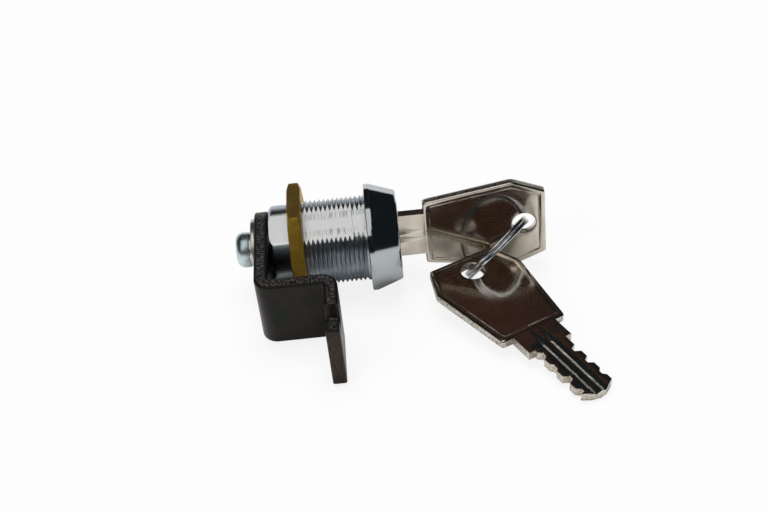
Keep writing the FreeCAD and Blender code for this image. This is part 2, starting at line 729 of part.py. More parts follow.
def make_key(name):
    body = new_body(name)
    outline = new_sketch(body, "outline", "XY_Plane")
    draw_polygon(outline, drop_close_points(key_outline()))
    pad(body, "blank", outline, "key_thickness", both_ways=True)

    end = value("shoulder_length + bow_length")
    corners = []
    for side in (-1, 1):
        corners.append(Vector(end, side * value("bow_end_width / 2"), 0))
        corners.append(Vector(end - value("bow_widest"), side * value("bow_width / 2"), 0))
        corners.append(Vector(value("shoulder_length"), side * value("bow_end_width / 2"), 0))
    round_edges(body, "bow_corners", "bow_round", corner_test(Vector(0, 0, 1), corners))

    hole = new_sketch(body, "hole", "XY_Plane")
    draw_circle(hole, "hole_radius", "shoulder_length + bow_length - hole_place")
    pocket(body, "ring_hole", hole, both_ways=True)

    for word, level, back in (("top", "key_thickness / 2", False),
                              ("under", "-key_thickness / 2", True)):
        panel = new_sketch(body, word + "_panel", "XY_Plane", level)
        draw_panel(panel)
        pocket(body, word + "_panel_recess", panel, "panel_depth", reverse=back)
        groove = new_sketch(body, word + "_groove", "XY_Plane", level)
        draw_groove(groove)
        pocket(body, word + "_blade_groove", groove, "groove_depth", reverse=back)
    return body


def drop_close_points(points):
    """Leave out each place that repeats the one before it."""
    kept = []
    for point in points:
        place = Vector(value(point[0]), value(point[1]), 0)
        if kept and (kept[-1][0] - place).Length < 1e-4:
            continue
        kept.append((place, point))
    return [point for place, point in kept]


def draw_panel(sketch):
    """The sunk panel of the bow: its outline moved in by the rim."""
    start = "shoulder_length + rim_width"
    end = "shoulder_length + bow_length - rim_width"
    far = "shoulder_length + bow_length - bow_widest"
    draw_polygon(sketch, [
        (start, "bow_end_width / 2 - rim_width"),
        (far, "bow_width / 2 - rim_width"),
        (end, "bow_end_width / 2 - rim_width"),
        (end, "-bow_end_width / 2 + rim_width"),
        (far, "-bow_width / 2 + rim_width"),
        (start, "-bow_end_width / 2 + rim_width"),
    ])


def draw_groove(sketch):
    """The long groove of the blade, which ends in a point in the shoulder."""
    draw_polygon(sketch, [
        ("-blade_length - 1", "-groove_width / 2"),
        ("groove_past", "-groove_width / 2"),
        ("groove_past + groove_width", "0"),
        ("groove_past", "groove_width / 2"),
        ("-blade_length - 1", "groove_width / 2"),
    ])


# Split ring: two coils side by side, with a seam between them

def make_split_ring():
    body = new_body("split_ring")
    inner = "ring_radius - ring_wire_height"
    edge = "ring_groove"
    section = new_sketch(body, "section", "XZ_Plane")
    draw_polygon(section, [
        (inner + " + %s" % edge, "-ring_width / 2"),
        ("ring_radius - %s" % edge, "-ring_width / 2"),
        ("ring_radius", "-ring_width / 2 + %s" % edge),
        ("ring_radius", "-%s / 2" % edge),
        ("ring_radius - %s" % edge, "0"),
        ("ring_radius", "%s / 2" % edge),
        ("ring_radius", "ring_width / 2 - %s" % edge),
        ("ring_radius - %s" % edge, "ring_width / 2"),
        (inner + " + %s" % edge, "ring_width / 2"),
        (inner, "ring_width / 2 - %s" % edge),
        (inner, "%s / 2" % edge),
        (inner + " + %s" % edge, "0"),
        (inner, "-%s / 2" % edge),
        (inner, "-ring_width / 2 + %s" % edge),
    ])
    revolve(body, "coils", section, axis="V_Axis")
    return body


def ring_axes():
    """The ring's first axis, to the first key's hole, its second axis, and its own axis."""
    azimuth = math.radians(value("ring_azimuth"))
    rise = math.radians(value("ring_rise"))
    roll = math.radians(value("ring_roll"))
    along = Vector(math.cos(azimuth) * math.cos(rise), math.sin(azimuth) * math.cos(rise),
                   math.sin(rise))
    level = Vector(-math.sin(azimuth), math.cos(azimuth), 0)
    upright = along.cross(level)
    second = upright * math.cos(roll) - level * math.sin(roll)
    return along, second, along.cross(second)


def on_wire(angle):
    """A place on the middle of the ring's wire, from its centre."""
    along, second, axis = ring_axes()
    turn = math.radians(value(angle))
    middle = value("ring_radius - ring_wire_height / 2")
    return (along * math.cos(turn) + second * math.sin(turn)) * middle


def first_hole():
    place = value(PLUG_FACE + " + running_gap + shoulder_length + bow_length - hole_place")
    return Vector(place, 0, 0)


def ring_centre():
    along, second, axis = ring_axes()
    return first_hole() + along * value("ring_shift_one") - on_wire("ring_angle_one")


def place_keys_and_ring(key, spare, ring):
    key.Placement = turned(value("plug_roll"), Vector(value(PLUG_FACE + " + running_gap"), 0, 0))
    along, second, axis = ring_axes()
    ring.Placement = Placement(ring_centre(), Rotation(along, second, axis, "ZXY"))

    hole = ring_centre() + on_wire("ring_angle_two")
    hole = hole + along * value("spare_shift_out") + axis * value("spare_shift_side")
    hole = hole - Vector(0, 0, value("spare_drop"))
    heading = Rotation(Vector(0, 0, 1), value("spare_heading"))
    pitch = Rotation(Vector(0, 1, 0), -value("spare_pitch"))
    roll = Rotation(Vector(1, 0, 0), value("spare_roll"))
    turn = heading.multiply(pitch).multiply(roll)
    local_hole = Vector(value("shoulder_length + bow_length - hole_place"), 0, 0)
    spare.Placement = Placement(hole - turn.multVec(local_hole), turn)


# The whole lock

def build():
    parts = []
    lock_body = make_lock_body()
    lock_body.Placement = turned(value("lock_roll"))
    parts.append(lock_body)
    parts.append(make_fixing_nut())
    plug = make_plug()
    plug.Placement = turned(value("plug_roll"))
    parts.append(plug)
    for index in range(len(CUT_DEPTHS)):
        parts.append(make_wafer(index))
        parts.append(make_wafer_spring(index))
    parts.append(make_cam())
    parts.append(make_cam_washer())
    parts.append(make_spring_washer())
    parts.append(make_cam_screw())
    key = make_key("key_in_lock")
    spare = make_key("spare_key")
    ring = make_split_ring()
    place_keys_and_ring(key, spare, ring)
    parts.extend([key, spare, ring])
    return parts


def check(parts):
    """Stop if any object failed, or if a piece isn't one valid solid."""
    for item in document.Objects:
        if "Invalid" in item.State or "Error" in item.State:
            raise RuntimeError("failed object: " + item.Name)
    for part in parts:
        shape = part.Shape
        if shape.isNull() or not shape.isValid():
            raise RuntimeError("bad shape: " + part.Name)
        if len(shape.Solids) != 1:
            raise RuntimeError("%s has %d solids" % (part.Name, len(shape.Solids)))


fill_sheet()
ALIASES = set(alias for alias, size, note in SIZES)
ALIASES.update(cut_alias(index) for index in range(len(CUT_DEPTHS)))
pieces = build()
document.recompute()
check(pieces)
os.makedirs("parts", exist_ok=True)
for piece in pieces:
    piece.Label = piece.Name
    piece.Shape.exportStep("parts/%s.step" % piece.Label)
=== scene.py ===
import bmesh
import bpy
import math
import numpy as np
from mathutils import Matrix


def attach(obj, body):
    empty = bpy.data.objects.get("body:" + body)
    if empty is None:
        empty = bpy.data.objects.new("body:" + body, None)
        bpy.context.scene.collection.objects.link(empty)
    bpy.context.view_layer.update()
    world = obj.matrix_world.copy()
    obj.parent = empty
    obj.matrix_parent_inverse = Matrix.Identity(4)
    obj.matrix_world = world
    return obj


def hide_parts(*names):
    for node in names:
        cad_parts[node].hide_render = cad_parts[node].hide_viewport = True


# A mailbox cam lock with its key in it, a spare key and a split ring.
# Sizes are in millimetres in the lock's own frame: X along its axis to the key, Z up from the table,
# and the origin on the axis, in the seating face of the head. Rolls and turns are in degrees.

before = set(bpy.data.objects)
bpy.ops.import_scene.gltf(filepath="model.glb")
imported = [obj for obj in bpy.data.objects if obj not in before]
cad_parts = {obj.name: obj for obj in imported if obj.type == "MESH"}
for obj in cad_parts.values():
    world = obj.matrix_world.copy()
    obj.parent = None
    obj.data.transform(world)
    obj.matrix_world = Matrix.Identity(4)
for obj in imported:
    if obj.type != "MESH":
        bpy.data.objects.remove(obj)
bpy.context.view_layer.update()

MM = 0.001
RIM_RADIUS = 11.9
TABLE = -RIM_RADIUS
BODY_ROLL = 28.5
PLUG_ROLL = 91.0
QUARTER = math.pi / 2
LEAST = 1e-3  # keeps a divisor from 0


# Meshes

def side_by_side(*parts):
    """Arrays, and numbers that hold for all their rows, as the last axis of one array."""
    return np.stack(np.broadcast_arrays(*parts), axis=-1)


def shortened(side, radius):
    """A side of a profile cut to a radius, or to 0.45 of itself where that is less."""
    length = np.linalg.norm(side, axis=-1, keepdims=True)
    return side / np.maximum(length, 1e-9) * np.minimum(radius, 0.45 * length)


def rounded(corners, radii, steps=4, closed=False):
    """Rows along a profile. Each corner c becomes a quadratic curve, a(1-t)^2 + 2ct(1-t) + bt^2.

    Its ends a and b lie a radius before and after the corner.
    """
    corners = np.asarray(corners, float)
    before = np.roll(corners, 1, axis=0) - corners
    after = np.roll(corners, -1, axis=0) - corners
    ends = () if closed else (0, len(corners) - 1)
    rows = []
    for place, radius in enumerate(radii):
        corner = corners[place]
        if radius == 0 or place in ends:
            rows.append(corner[None])
            continue
        start = corner + shortened(before[place], radius)
        finish = corner + shortened(after[place], radius)
        t = np.linspace(0, 1, steps).reshape((-1,) + (1,) * corner.ndim)
        rows.append(start * (1 - t) ** 2 + 2 * corner * t * (1 - t) + finish * t ** 2)
    return np.concatenate(rows)


def bar_section(half_width, half_height, radius, steps):
    """The closed outline of a bar's section, a rectangle with its corners rounded."""
    corners = np.array([[-1, -1], [1, -1], [1, 1], [-1, 1]]) * [half_width, half_height]
    return rounded(corners, [radius] * 4, steps, closed=True)


def fall(depth, radius):
    """How far a round edge falls back at a depth past its start: r - sqrt(r^2 - depth^2)."""
    depth = np.clip(depth, 0, radius)
    return radius - np.sqrt(np.maximum(radius ** 2 - depth ** 2, 0))


def capped(rows):
    """Rows with one more at each end, whose points all lie in the middle of the end row."""
    ends = rows[[0, -1]]
    middles = np.broadcast_to(ends.mean(axis=1, keepdims=True), ends.shape)
    return np.concatenate([middles[:1], rows, middles[1:]])


def shell(points, close_rows=False):
    """The quads of a grid of points whose rows are closed, facing outward.

    The sum of a . (b x c + c x d) over the quads is above 0 when they do.
    """
    index = np.arange(points.shape[0] * points.shape[1]).reshape(points.shape[:2])
    if close_rows:
        index = np.concatenate([index, index[:1]], axis=0)
    index = np.concatenate([index, index[:, :1]], axis=1)
    quads = np.stack([index[:-1, :-1], index[:-1, 1:], index[1:, 1:], index[1:, :-1]], axis=-1)
    quads = quads.reshape(-1, 4)
    corner = points.reshape(-1, 3)[quads]
    volume = np.sum(corner[:, 0] * (np.cross(corner[:, 1], corner[:, 2])
                                    + np.cross(corner[:, 2], corner[:, 3])))
    if volume < 0:
        quads = quads[:, ::-1]
    return points.reshape(-1, 3), quads


def piece(name, shells, body, nodes, finish, marks=None, smooth=32):
    """One object from one or more closed shells, with doubles merged and its marks as attributes."""
    places = np.concatenate([points for points, quads in shells]) * MM
    starts = np.cumsum([0] + [len(points) for points, quads in shells[:-1]])
    quads = np.concatenate([quads + start for (points, quads), start in zip(shells, starts)])
    mesh = bpy.data.meshes.new(name)
    mesh.vertices.add(len(places))
    mesh.vertices.foreach_set("co", places.astype(np.float32).ravel())
    mesh.loops.add(quads.size)
    mesh.loops.foreach_set("vertex_index", quads.astype(np.int32).ravel())
    mesh.polygons.add(len(quads))
    mesh.polygons.foreach_set("loop_start", np.arange(0, quads.size, 4, dtype=np.int32))
    mesh.update(calc_edges=True)
    for word, values in (marks or {}).items():
        mark = mesh.attributes.new(word, "FLOAT_VECTOR", "POINT")
        mark.data.foreach_set("vector", values.astype(np.float32).reshape(-1, 3).ravel())
    work = bmesh.new()
    work.from_mesh(mesh)
    bmesh.ops.remove_doubles(work, verts=work.verts, dist=2e-7)
    work.to_mesh(mesh)
    work.free()
    mesh.shade_smooth()
    mesh.set_sharp_from_angle(angle=math.radians(smooth))
    mesh.materials.append(finish)
    thing = bpy.data.objects.new(name, mesh)
    bpy.context.scene.collection.objects.link(thing)
    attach(thing, body)
    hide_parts(*nodes)
    return thing


def turn_x(points, degrees):
    """Points turned about the lock's axis."""
    turn = math.radians(degrees)
    x, y, z = points[..., 0], points[..., 1], points[..., 2]
    return np.stack([x, y * math.cos(turn) - z * math.sin(turn),
                     y * math.sin(turn) + z * math.cos(turn)], axis=-1)


def swung(profile, angles):
    """A profile of (x, r) carried round the axis: y = r cos a, z = r sin a."""
    profile = np.asarray(profile, float)
    if profile.ndim == 2:
        profile = np.repeat(profile[:, None], len(angles), axis=1)
    x, r = profile[..., 0], profile[..., 1]
    return np.stack([x, r * np.cos(angles), r * np.sin(angles)], axis=-1)


def around(count):
    """Angles spaced evenly round a circle."""
    return np.arange(count) / count * 2 * math.pi


# Shader maths

class Value:
    """A socket of a node tree, so that sums on a surface are written as sums."""

    def __init__(self, paint, socket):
        self.paint = paint
        self.socket = socket

    def math(self, operation, first, second):
        return self.paint.node("ShaderNodeMath", {"operation": operation}, {0: first, 1: second})

    def __add__(self, other):
        return self.math("ADD", self, other)

    __radd__ = __add__

    def __mul__(self, other):
        return self.math("MULTIPLY", self, other)

    __rmul__ = __mul__

    def __sub__(self, other):
        return self.math("SUBTRACT", self, other)

    def __rsub__(self, other):
        return self.math("SUBTRACT", other, self)

    def __abs__(self):
        return self.math("ABSOLUTE", self, 0.0)

    def least(self, other):
        return self.math("MINIMUM", self, other)

    def step(self, low, high):
        """0 below low, 1 above high, and smooth between."""
        return self.paint.node("ShaderNodeMapRange", {"interpolation_type": "SMOOTHSTEP"},
                               {"Value": self, "From Min": low, "From Max": high})


class Paint:
    """A node tree that is being filled."""

    def __init__(self, tree):
        self.tree = tree
        tree.nodes.clear()

    def node(self, kind, settings=None, inputs=None, output=0):
        """Adds one node with its settings and the values or links of its sockets."""
        node = self.tree.nodes.new(kind)
        for word, setting in (settings or {}).items():
            setattr(node, word, setting)
        for word, given in (inputs or {}).items():
            socket = node.inputs[word]
            if isinstance(given, Value):
                self.tree.links.new(given.socket, socket)
            elif isinstance(given, tuple) and len(given) == 3 and socket.type == "RGBA":
                socket.default_value = given + (1.0,)
            else:
                socket.default_value = given
        return Value(self, node.outputs[output])

    def finish(self, shader, kind):
        """The tree's last node, a material's or a world's output."""
        output = self.tree.nodes.new(kind)
        self.tree.links.new(shader.socket, output.inputs["Surface"])

    def place(self):
        """Object coordinates in millimetres."""
        at = self.node("ShaderNodeTexCoord", output="Object")
        return self.node("ShaderNodeVectorMath", {"operation": "SCALE"}, {0: at, "Scale": 1 / MM})

    def mark(self, word):
        """A piece's own attribute, as a vector."""
        return self.node("ShaderNodeAttribute", {"attribute_name": word}, output="Vector")

    def part(self, vector, axis):
        return self.node("ShaderNodeSeparateXYZ", None, {0: vector}, output=axis)

    def stretch(self, vector, factors):
        return self.node("ShaderNodeVectorMath", {"operation": "MULTIPLY"}, {0: vector, 1: factors})

    def along(self, vector, direction):
        """How far a vector reaches in a direction."""
        return self.node("ShaderNodeVectorMath", {"operation": "DOT_PRODUCT"},
                         {0: vector, 1: direction}, output="Value")

    def noise(self, vector, scale, detail=3.0, roughness=0.55):
        return self.node("ShaderNodeTexNoise", None,
                         {"Vector": vector, "Scale": scale, "Detail": detail, "Roughness": roughness})

    def mix(self, factor, first, second):
        """The first colour where the factor is 0, the second where it is 1."""
        return self.node("ShaderNodeMix", {"data_type": "RGBA"},
                         {0: factor, 6: first, 7: second}, output=2)

    def bump(self, height, depth):
        """A bump whose height of 1 stands for a depth in millimetres."""
        return self.node("ShaderNodeBump", None,
                         {"Height": height, "Distance": depth * MM, "Strength": 1.0})


def new_material(name):
    material = bpy.data.materials.new(name)
    material.use_nodes = True
    return material, Paint(material.node_tree)


def metal(name, colour, roughness, bump, metallic=1.0):
    """A metal from functions of its Paint and the place: colour, roughness, and bump with depth."""
    material, paint = new_material(name)
    at = paint.place()
    height, depth = bump(paint, at)
    inputs = {"Base Color": colour(paint, at), "Roughness": roughness(paint, at),
              "Metallic": metallic, "Normal": paint.bump(height, depth)}
    shader = paint.node("ShaderNodeBsdfPrincipled", None, inputs)
    paint.finish(shader, "ShaderNodeOutputMaterial")
    return material


# The barrel and head: one surface, a thread with two long flats, and a cone for a head

THREAD_RADIUS = 9.5
THREAD_DEPTH = 0.56
THREAD_END = -17.0
FLAT_HALF = 8.3
PAD_HALF = 8.55
PAD_LENGTH = 3.0
REAR_END = -21.4
REAR_RADIUS = 9.1
REAR_CHAMFER = 0.6
REAR_FLAT_HALF = 8.6
RIM_LENGTH = 1.15
HEAD_LENGTH = 6.9
FRONT_RADIUS = 10.0
FRONT_CHAMFER = 0.28
FLANGE_SEAT_RADIUS = 7.65
FLANGE_SEAT = 5.65
BORE_RADIUS = 6.55
WAFER_GROOVE_REACH = 7.36
WAFER_GROOVE_HALF = 3.1
RECESS_END = -19.4
RECESS_HALF = 58.0
SHORT_FLATS = (0, 2)
LONG_FLATS = (1, 3)
FLAT_MIDDLES = np.arange(4) * QUARTER
PLAIN_SPAN = math.radians(20)
NARROWEST_SPAN = math.radians(6)


def bore_radius(x, angle):
    """The most of the bore's radius, its wafer grooves and the recess that stops the plug.

    A groove reaches as far as the least of reach / cos and half / sin of the angle from its middle.
    """
    turned = angle - math.radians(PLUG_ROLL - BODY_ROLL)
    along = np.maximum(np.abs(np.cos(turned)), LEAST)
    across = np.maximum(np.abs(np.sin(turned)), LEAST)
    grooves = np.maximum(
        np.minimum(WAFER_GROOVE_REACH / along, WAFER_GROOVE_HALF / across),
        np.minimum(WAFER_GROOVE_REACH / across, WAFER_GROOVE_HALF / along))
    recess = (np.cos(turned) > math.cos(math.radians(RECESS_HALF))) & (x < RECESS_END)
    return np.maximum(np.maximum(BORE_RADIUS, grooves), np.where(recess, WAFER_GROOVE_REACH, 0))


def thread_radius(x, angle):
    """Radius less a depth times a wave of x in turns plus the angle in turns: a helix.

    The wave, (0.5 - 0.5 cos)^0.75, fades out before the head and at the end, where r also falls.
    """
    turns = x + angle / (2 * math.pi)
    wave = (0.5 - 0.5 * np.cos(2 * math.pi * turns)) ** 0.75
    from_end = x - THREAD_END
    fade = np.clip((-0.35 - x) / 0.5, 0, 1) * np.clip(from_end / 0.4, 0, 1)
    end_drop = 0.35 * (1 - np.clip(from_end / 0.5, 0, 1))
    return THREAD_RADIUS - THREAD_DEPTH * wave * fade - end_drop


def body_rows():
    """Rows (x, r) of the body's closed outline, from the rear end by the outside to the bore."""
    rear = rounded([[REAR_END, BORE_RADIUS], [REAR_END, REAR_RADIUS - REAR_CHAMFER],
                    [REAR_END + REAR_CHAMFER, REAR_RADIUS], [THREAD_END, REAR_RADIUS]],
                   [0, 0.25, 0.3, 0])
    barrel = np.concatenate([np.linspace(THREAD_END + 0.02, -0.02, 238),
                             [-PAD_LENGTH - 0.04, -PAD_LENGTH + 0.04]])
    barrel = side_by_side(np.sort(barrel), THREAD_RADIUS)
    head = rounded([[0, THREAD_RADIUS], [0, RIM_RADIUS], [RIM_LENGTH, RIM_RADIUS],
                    [HEAD_LENGTH - FRONT_CHAMFER, FRONT_RADIUS],
                    [HEAD_LENGTH, FRONT_RADIUS - FRONT_CHAMFER], [HEAD_LENGTH, FLANGE_SEAT_RADIUS],
                    [FLANGE_SEAT, FLANGE_SEAT_RADIUS], [FLANGE_SEAT, BORE_RADIUS], [4.0, BORE_RADIUS]],
                   [0.1, 0.22, 0.16, 0.16, 0.12, 0.12, 0, 0.06, 0], 5)
    bore = np.concatenate([np.linspace(2, -19, 12),
                           [RECESS_END + 0.01, RECESS_END - 0.01, -20.6, -21.2]])
    bore = side_by_side(bore, BORE_RADIUS)
    return np.concatenate([rear, barrel, head, bore]), len(rear), len(rear) + len(barrel)


def flat_spans(x, r, half, on_barrel, threaded):
    """The angles from each flat's middle to its edges in each row, where r = half / cos(angle).

    The thread's r changes with the angle, so the angle settles in a few rounds.
    """
    spans = np.empty((len(x), 4, 2))
    spans[:, SHORT_FLATS] = math.acos(REAR_FLAT_HALF / REAR_RADIUS)
    for flat in LONG_FLATS:
        for edge, sign in enumerate((-1, 1)):
            span = np.full(len(x), PLAIN_SPAN)
            for settling in range(6):
                own = np.where(threaded, thread_radius(x, FLAT_MIDDLES[flat] + sign * span), r)
                span = np.arccos(np.clip(half / own, -1, math.cos(NARROWEST_SPAN)))
            spans[:, flat, edge] = np.where(on_barrel, span, PLAIN_SPAN)
    return spans


def body_angles(spans):
    """The angle of each column in each row: even steps over each flat, and from flat to flat."""
    columns = []
    for flat, middle in enumerate(FLAT_MIDDLES):
        start = middle - spans[:, flat, 0]
        stop = middle + spans[:, flat, 1]
        target = middle + QUARTER - spans[:, (flat + 1) % 4, 0]
        over_flat = 14 if flat in LONG_FLATS else 30
        for first, last, count in ((start, stop, over_flat), (stop, target, 42)):
            t = np.linspace(0, 1, count, endpoint=False)
            columns.append(first[:, None] + (last - first)[:, None] * t)
    return np.concatenate(columns, axis=1)


def make_body(finish):
    """x and r from the outline. The flats cap r at half / cos(angle from the flat's middle).

    The columns slide so that a column lies on each flat's edge.
    """
    rows, thread_from, thread_to = body_rows()
    x, r = rows[:, 0], rows[:, 1]
    row = np.arange(len(rows))
    on_barrel = (row > 0) & (row < thread_to)
    threaded = on_barrel & (row >= thread_from)
    half = np.where(x > -PAD_LENGTH, PAD_HALF, FLAT_HALF)
    angle = body_angles(flat_spans(x, r, half, on_barrel, threaded))

    x, r, row = x[:, None], r[:, None], row[:, None]
    radius = np.where(threaded[:, None], thread_radius(x, angle), r)
    long_flat = half[:, None] / np.maximum(np.abs(np.sin(angle)), LEAST)
    radius = np.where(on_barrel[:, None], np.minimum(radius, long_flat), radius)
    rear_flat = REAR_FLAT_HALF / np.maximum(np.abs(np.cos(angle)), LEAST)
    radius = np.where(row < thread_from, np.minimum(radius, rear_flat), radius)
    radius = np.where(r < BORE_RADIUS + 0.05, bore_radius(x, angle), radius)
    points = turn_x(swung(side_by_side(x, radius), angle), BODY_ROLL)
    return piece("barrel_and_head", [shell(points, close_rows=True)], "root", ["lock_body"],
                 finish, smooth=30)


# The nut: a hexagon whose corners are cut by a cone on each face

NUT_FRONT = -13.9
NUT_REAR = -16.9
NUT_FOOT = 12.55
NUT_CONE = 20.0
NUT_SHARPNESS = 220
NUT_MOUTH = 9.55
NUT_BORE = 9.1
NUT_ROOT = 9.45
NUT_CREST = 9.05


def make_nut(finish):
    """Hexagon reach = across / cos(angle from a side's middle), with its corners a power mean.

    The chamfer's edge lies where the cone meets each side, so it waves as on a turned nut.
    """
    angle = around(360)
    sides = np.radians(np.arange(6) * 60 + 30)
    facing = np.maximum(np.cos(angle[:, None] - sides), LEAST)
    reach = RIM_RADIUS * np.sum(facing ** NUT_SHARPNESS, axis=1) ** (-1 / NUT_SHARPNESS)
    drop = np.maximum(reach - NUT_FOOT, 0) * math.tan(math.radians(NUT_CONE)) + 0.02
    foot = np.minimum(reach - 0.08, NUT_FOOT)
    outside = [(NUT_FRONT - 0.35, NUT_BORE), (NUT_FRONT, NUT_MOUTH), (NUT_FRONT, foot),
               (NUT_FRONT - drop, reach), (NUT_REAR + drop, reach),
               (NUT_REAR, foot), (NUT_REAR, NUT_MOUTH), (NUT_REAR + 0.35, NUT_BORE)]
    thread = [(NUT_REAR + 0.6, NUT_ROOT), (NUT_REAR + 1.1, NUT_CREST), (NUT_REAR + 1.6, NUT_ROOT),
              (NUT_REAR + 2.1, NUT_CREST), (NUT_REAR + 2.5, NUT_ROOT - 0.05)]
    profile = np.array([side_by_side(x, r + 0 * angle) for x, r in outside + thread])
    radii = [0, 0.1, 0.3, 0.22, 0.22, 0.3, 0.1, 0] + [0] * len(thread)
    rows = rounded(profile, radii, closed=True)
    return piece("hexagon_nut", [shell(swung(rows, angle), close_rows=True)], "root",
                 ["fixing_nut"], finish, smooth=34)


# The cam: a strip carried along its cranked middle line

CAM_TURN = 96.0
CAM_HALF = 8.0
STRIP_HALF = 1.5
STRIP_EDGE = 0.35
STRIP_FILLET = 0.45
HUB_X = -23.1
LEG_X = -8.5
CRANK_REACH = 20.7
BEND = 2.0
NOTCH_START = 28.9
NOTCH_END = 34.0
NOTCH_FLOOR = 4.0
NOTCH_CORNER = 0.5
NOTCH_BRINK = 0.12
NOTCH_LIP = 0.15
TIP_REACH = 36.6
TIP_CORNER = 0.8


def leg_stations():
    """Reaches along the leg, close together at the notch's ends and at the tip."""
    beside_notch = np.array([-NOTCH_LIP, -NOTCH_BRINK, 0, 0.05, 0.15, 0.3, 0.55, 0.8])
    before_tip = np.array([0.75, 0.55, 0.4, 0.3, 0.2, 0.1, 0.04, 0, 0])
    return np.concatenate([
        np.linspace(23.2, 28.6, 6), NOTCH_START + beside_notch, np.linspace(30.2, 32.7, 5),
        NOTCH_END - beside_notch[::-1], [34.4], np.linspace(34.9, 35.7, 3), TIP_REACH - before_tip])


def cam_line():
    """The strip's middle line as (x, reach): hub, first bend, crank, second bend and leg."""
    quarter = np.linspace(0, QUARTER, 15)
    leg = leg_stations()
    line = np.concatenate([
        side_by_side(HUB_X, -CAM_HALF * np.cos(np.linspace(0, QUARTER, 24))),
        side_by_side(HUB_X, np.linspace(1, CRANK_REACH - BEND - 0.3, 8)),
        side_by_side(HUB_X + BEND - BEND * np.cos(quarter), CRANK_REACH - BEND + BEND * np.sin(quarter)),
        side_by_side(np.linspace(HUB_X + BEND + 0.3, LEG_X - BEND - 0.3, 8), CRANK_REACH),
        side_by_side(LEG_X - BEND + BEND * np.sin(quarter), CRANK_REACH + BEND - BEND * np.cos(quarter)),
        side_by_side(LEG_X, leg)])
    return line, np.arange(len(line)) >= len(line) - len(leg)


def line_normals(line):
    """Unit normals: the mean of the steps before and after a station, turned by a quarter.

    The last station lies on the one before it, so their steps come from those before.
    """
    ahead = np.concatenate([line[1:] - line[:-1], line[-1:] - line[-3:-2]])
    ahead[-2] = ahead[-3]
    ahead /= np.linalg.norm(ahead, axis=1, keepdims=True)
    ahead = (ahead + np.concatenate([ahead[:1], ahead[:-1]])) / 2
    ahead /= np.linalg.norm(ahead, axis=1, keepdims=True)
    return np.stack([-ahead[:, 1], ahead[:, 0]], axis=-1)


def strip_section():
    """Points round the strip's section: the signs of the corner, and the way from its rounding."""
    turn = np.linspace(0, QUARTER, 5)
    corners = [(1, 1), (-1, 1), (-1, -1), (1, -1)]
    return np.concatenate([
        side_by_side(across, up, np.cos(turn + place * QUARTER) - across,
                     np.sin(turn + place * QUARTER) - up)
        for place, (across, up) in enumerate(corners)])


def make_cam(finish):
    """A rounded rectangle carried along the strip's middle line of straights and two bends.

    Its edges follow the hub's circle, w = sqrt(8^2 - r^2), the hook's notch and the tip's corners.
    """
    line, on_leg = cam_line()
    normal = line_normals(line)
    r = line[:, 1]
    half = np.where(r < 0, np.sqrt(np.maximum(CAM_HALF ** 2 - r ** 2, 0)), CAM_HALF)
    half = half - np.where(on_leg, fall(r - (TIP_REACH - TIP_CORNER), TIP_CORNER), 0)
    outside = np.maximum(NOTCH_START - r, r - NOTCH_END)
    lip = on_leg & (np.abs(outside - NOTCH_LIP) < 0.01)
    brink = on_leg & (np.abs(outside - NOTCH_BRINK) < 0.01)
    low = -half
    high = np.where(on_leg & (outside <= 0),
                    NOTCH_FLOOR + fall(NOTCH_CORNER + outside, NOTCH_CORNER), half)
    high = high - np.where(lip, 0.06, 0) - np.where(brink, 0.12, 0)
    thick = STRIP_HALF - np.where(on_leg, fall(r - (TIP_REACH - STRIP_EDGE), STRIP_EDGE), 0)
    thick = thick - fall(STRIP_EDGE - CAM_HALF - r, STRIP_EDGE) * 0.6

    section = strip_section()
    middle = ((high + low) / 2)[:, None]
    reach = ((high - low) / 2)[:, None]
    thick = thick[:, None]
    fillet = np.minimum(STRIP_FILLET, np.minimum(reach * 0.98 + 1e-4, thick * 0.8))
    across = middle + reach * section[:, 0] + fillet * section[:, 2]
    up = thick * section[:, 1] + fillet * section[:, 3]
    last = (np.arange(len(r)) == len(r) - 1)[:, None]
    across = np.where(last, middle, across)
    up = np.where(last, 0, up)
    points = np.stack([line[:, None, 0] + normal[:, None, 0] * up, across,
                       line[:, None, 1] + normal[:, None, 1] * up], axis=-1)

    side = np.abs(across - middle) / np.maximum(reach, LEAST)
    rim = np.clip((side - 0.93) / 0.05, 0, 1) * (np.abs(up) < thick - 0.08)
    notch_wall = brink | (on_leg & (np.abs(outside) < 0.06))
    rim = np.where(notch_wall[:, None] & (across > NOTCH_FLOOR - 0.5), 0.25, rim)
    rim = np.where((on_leg & (r > TIP_REACH - STRIP_EDGE))[:, None], 0.25, rim)
    runs = np.concatenate([[0], np.cumsum(np.linalg.norm(np.diff(line, axis=0), axis=1))])
    marks = side_by_side(runs[:, None], rim, up)
    return piece("cranked_cam", [shell(turn_x(points, CAM_TURN))], "plug", ["cam"],
                 finish, {"strip": marks}, smooth=40)


# Washers and screw

WASHER_FRONT = -24.62
WASHER_REAR = -25.6
WASHER_RADIUS = 6.7
WASHER_HOLE = 2.15
SPRING_X = -26.05
SPRING_RADIUS = 2.93
SPRING_HALF_WIDTH = 0.4
SPRING_HALF_HEIGHT = 0.85
SPRING_GAP = 5
SPRING_RISE = 0.04
SCREW_SEAT = -26.5
SCREW_REAR = -29.6
SCREW_RADIUS = 1.95
SCREW_LENGTH = 12.0
SCREW_TURN = 22.0
DOME_RADIUS = 2.45
DOME_RISE = 0.18
SWELL_LENGTH = 1.7
SWELL_REACH = 1.5
CROSS_HALF = 0.5
CROSS_REACH = 2.05
CROSS_DEPTH = 1.8
CROSS_SLOPE = 0.55
CROSS_WALL = 0.16


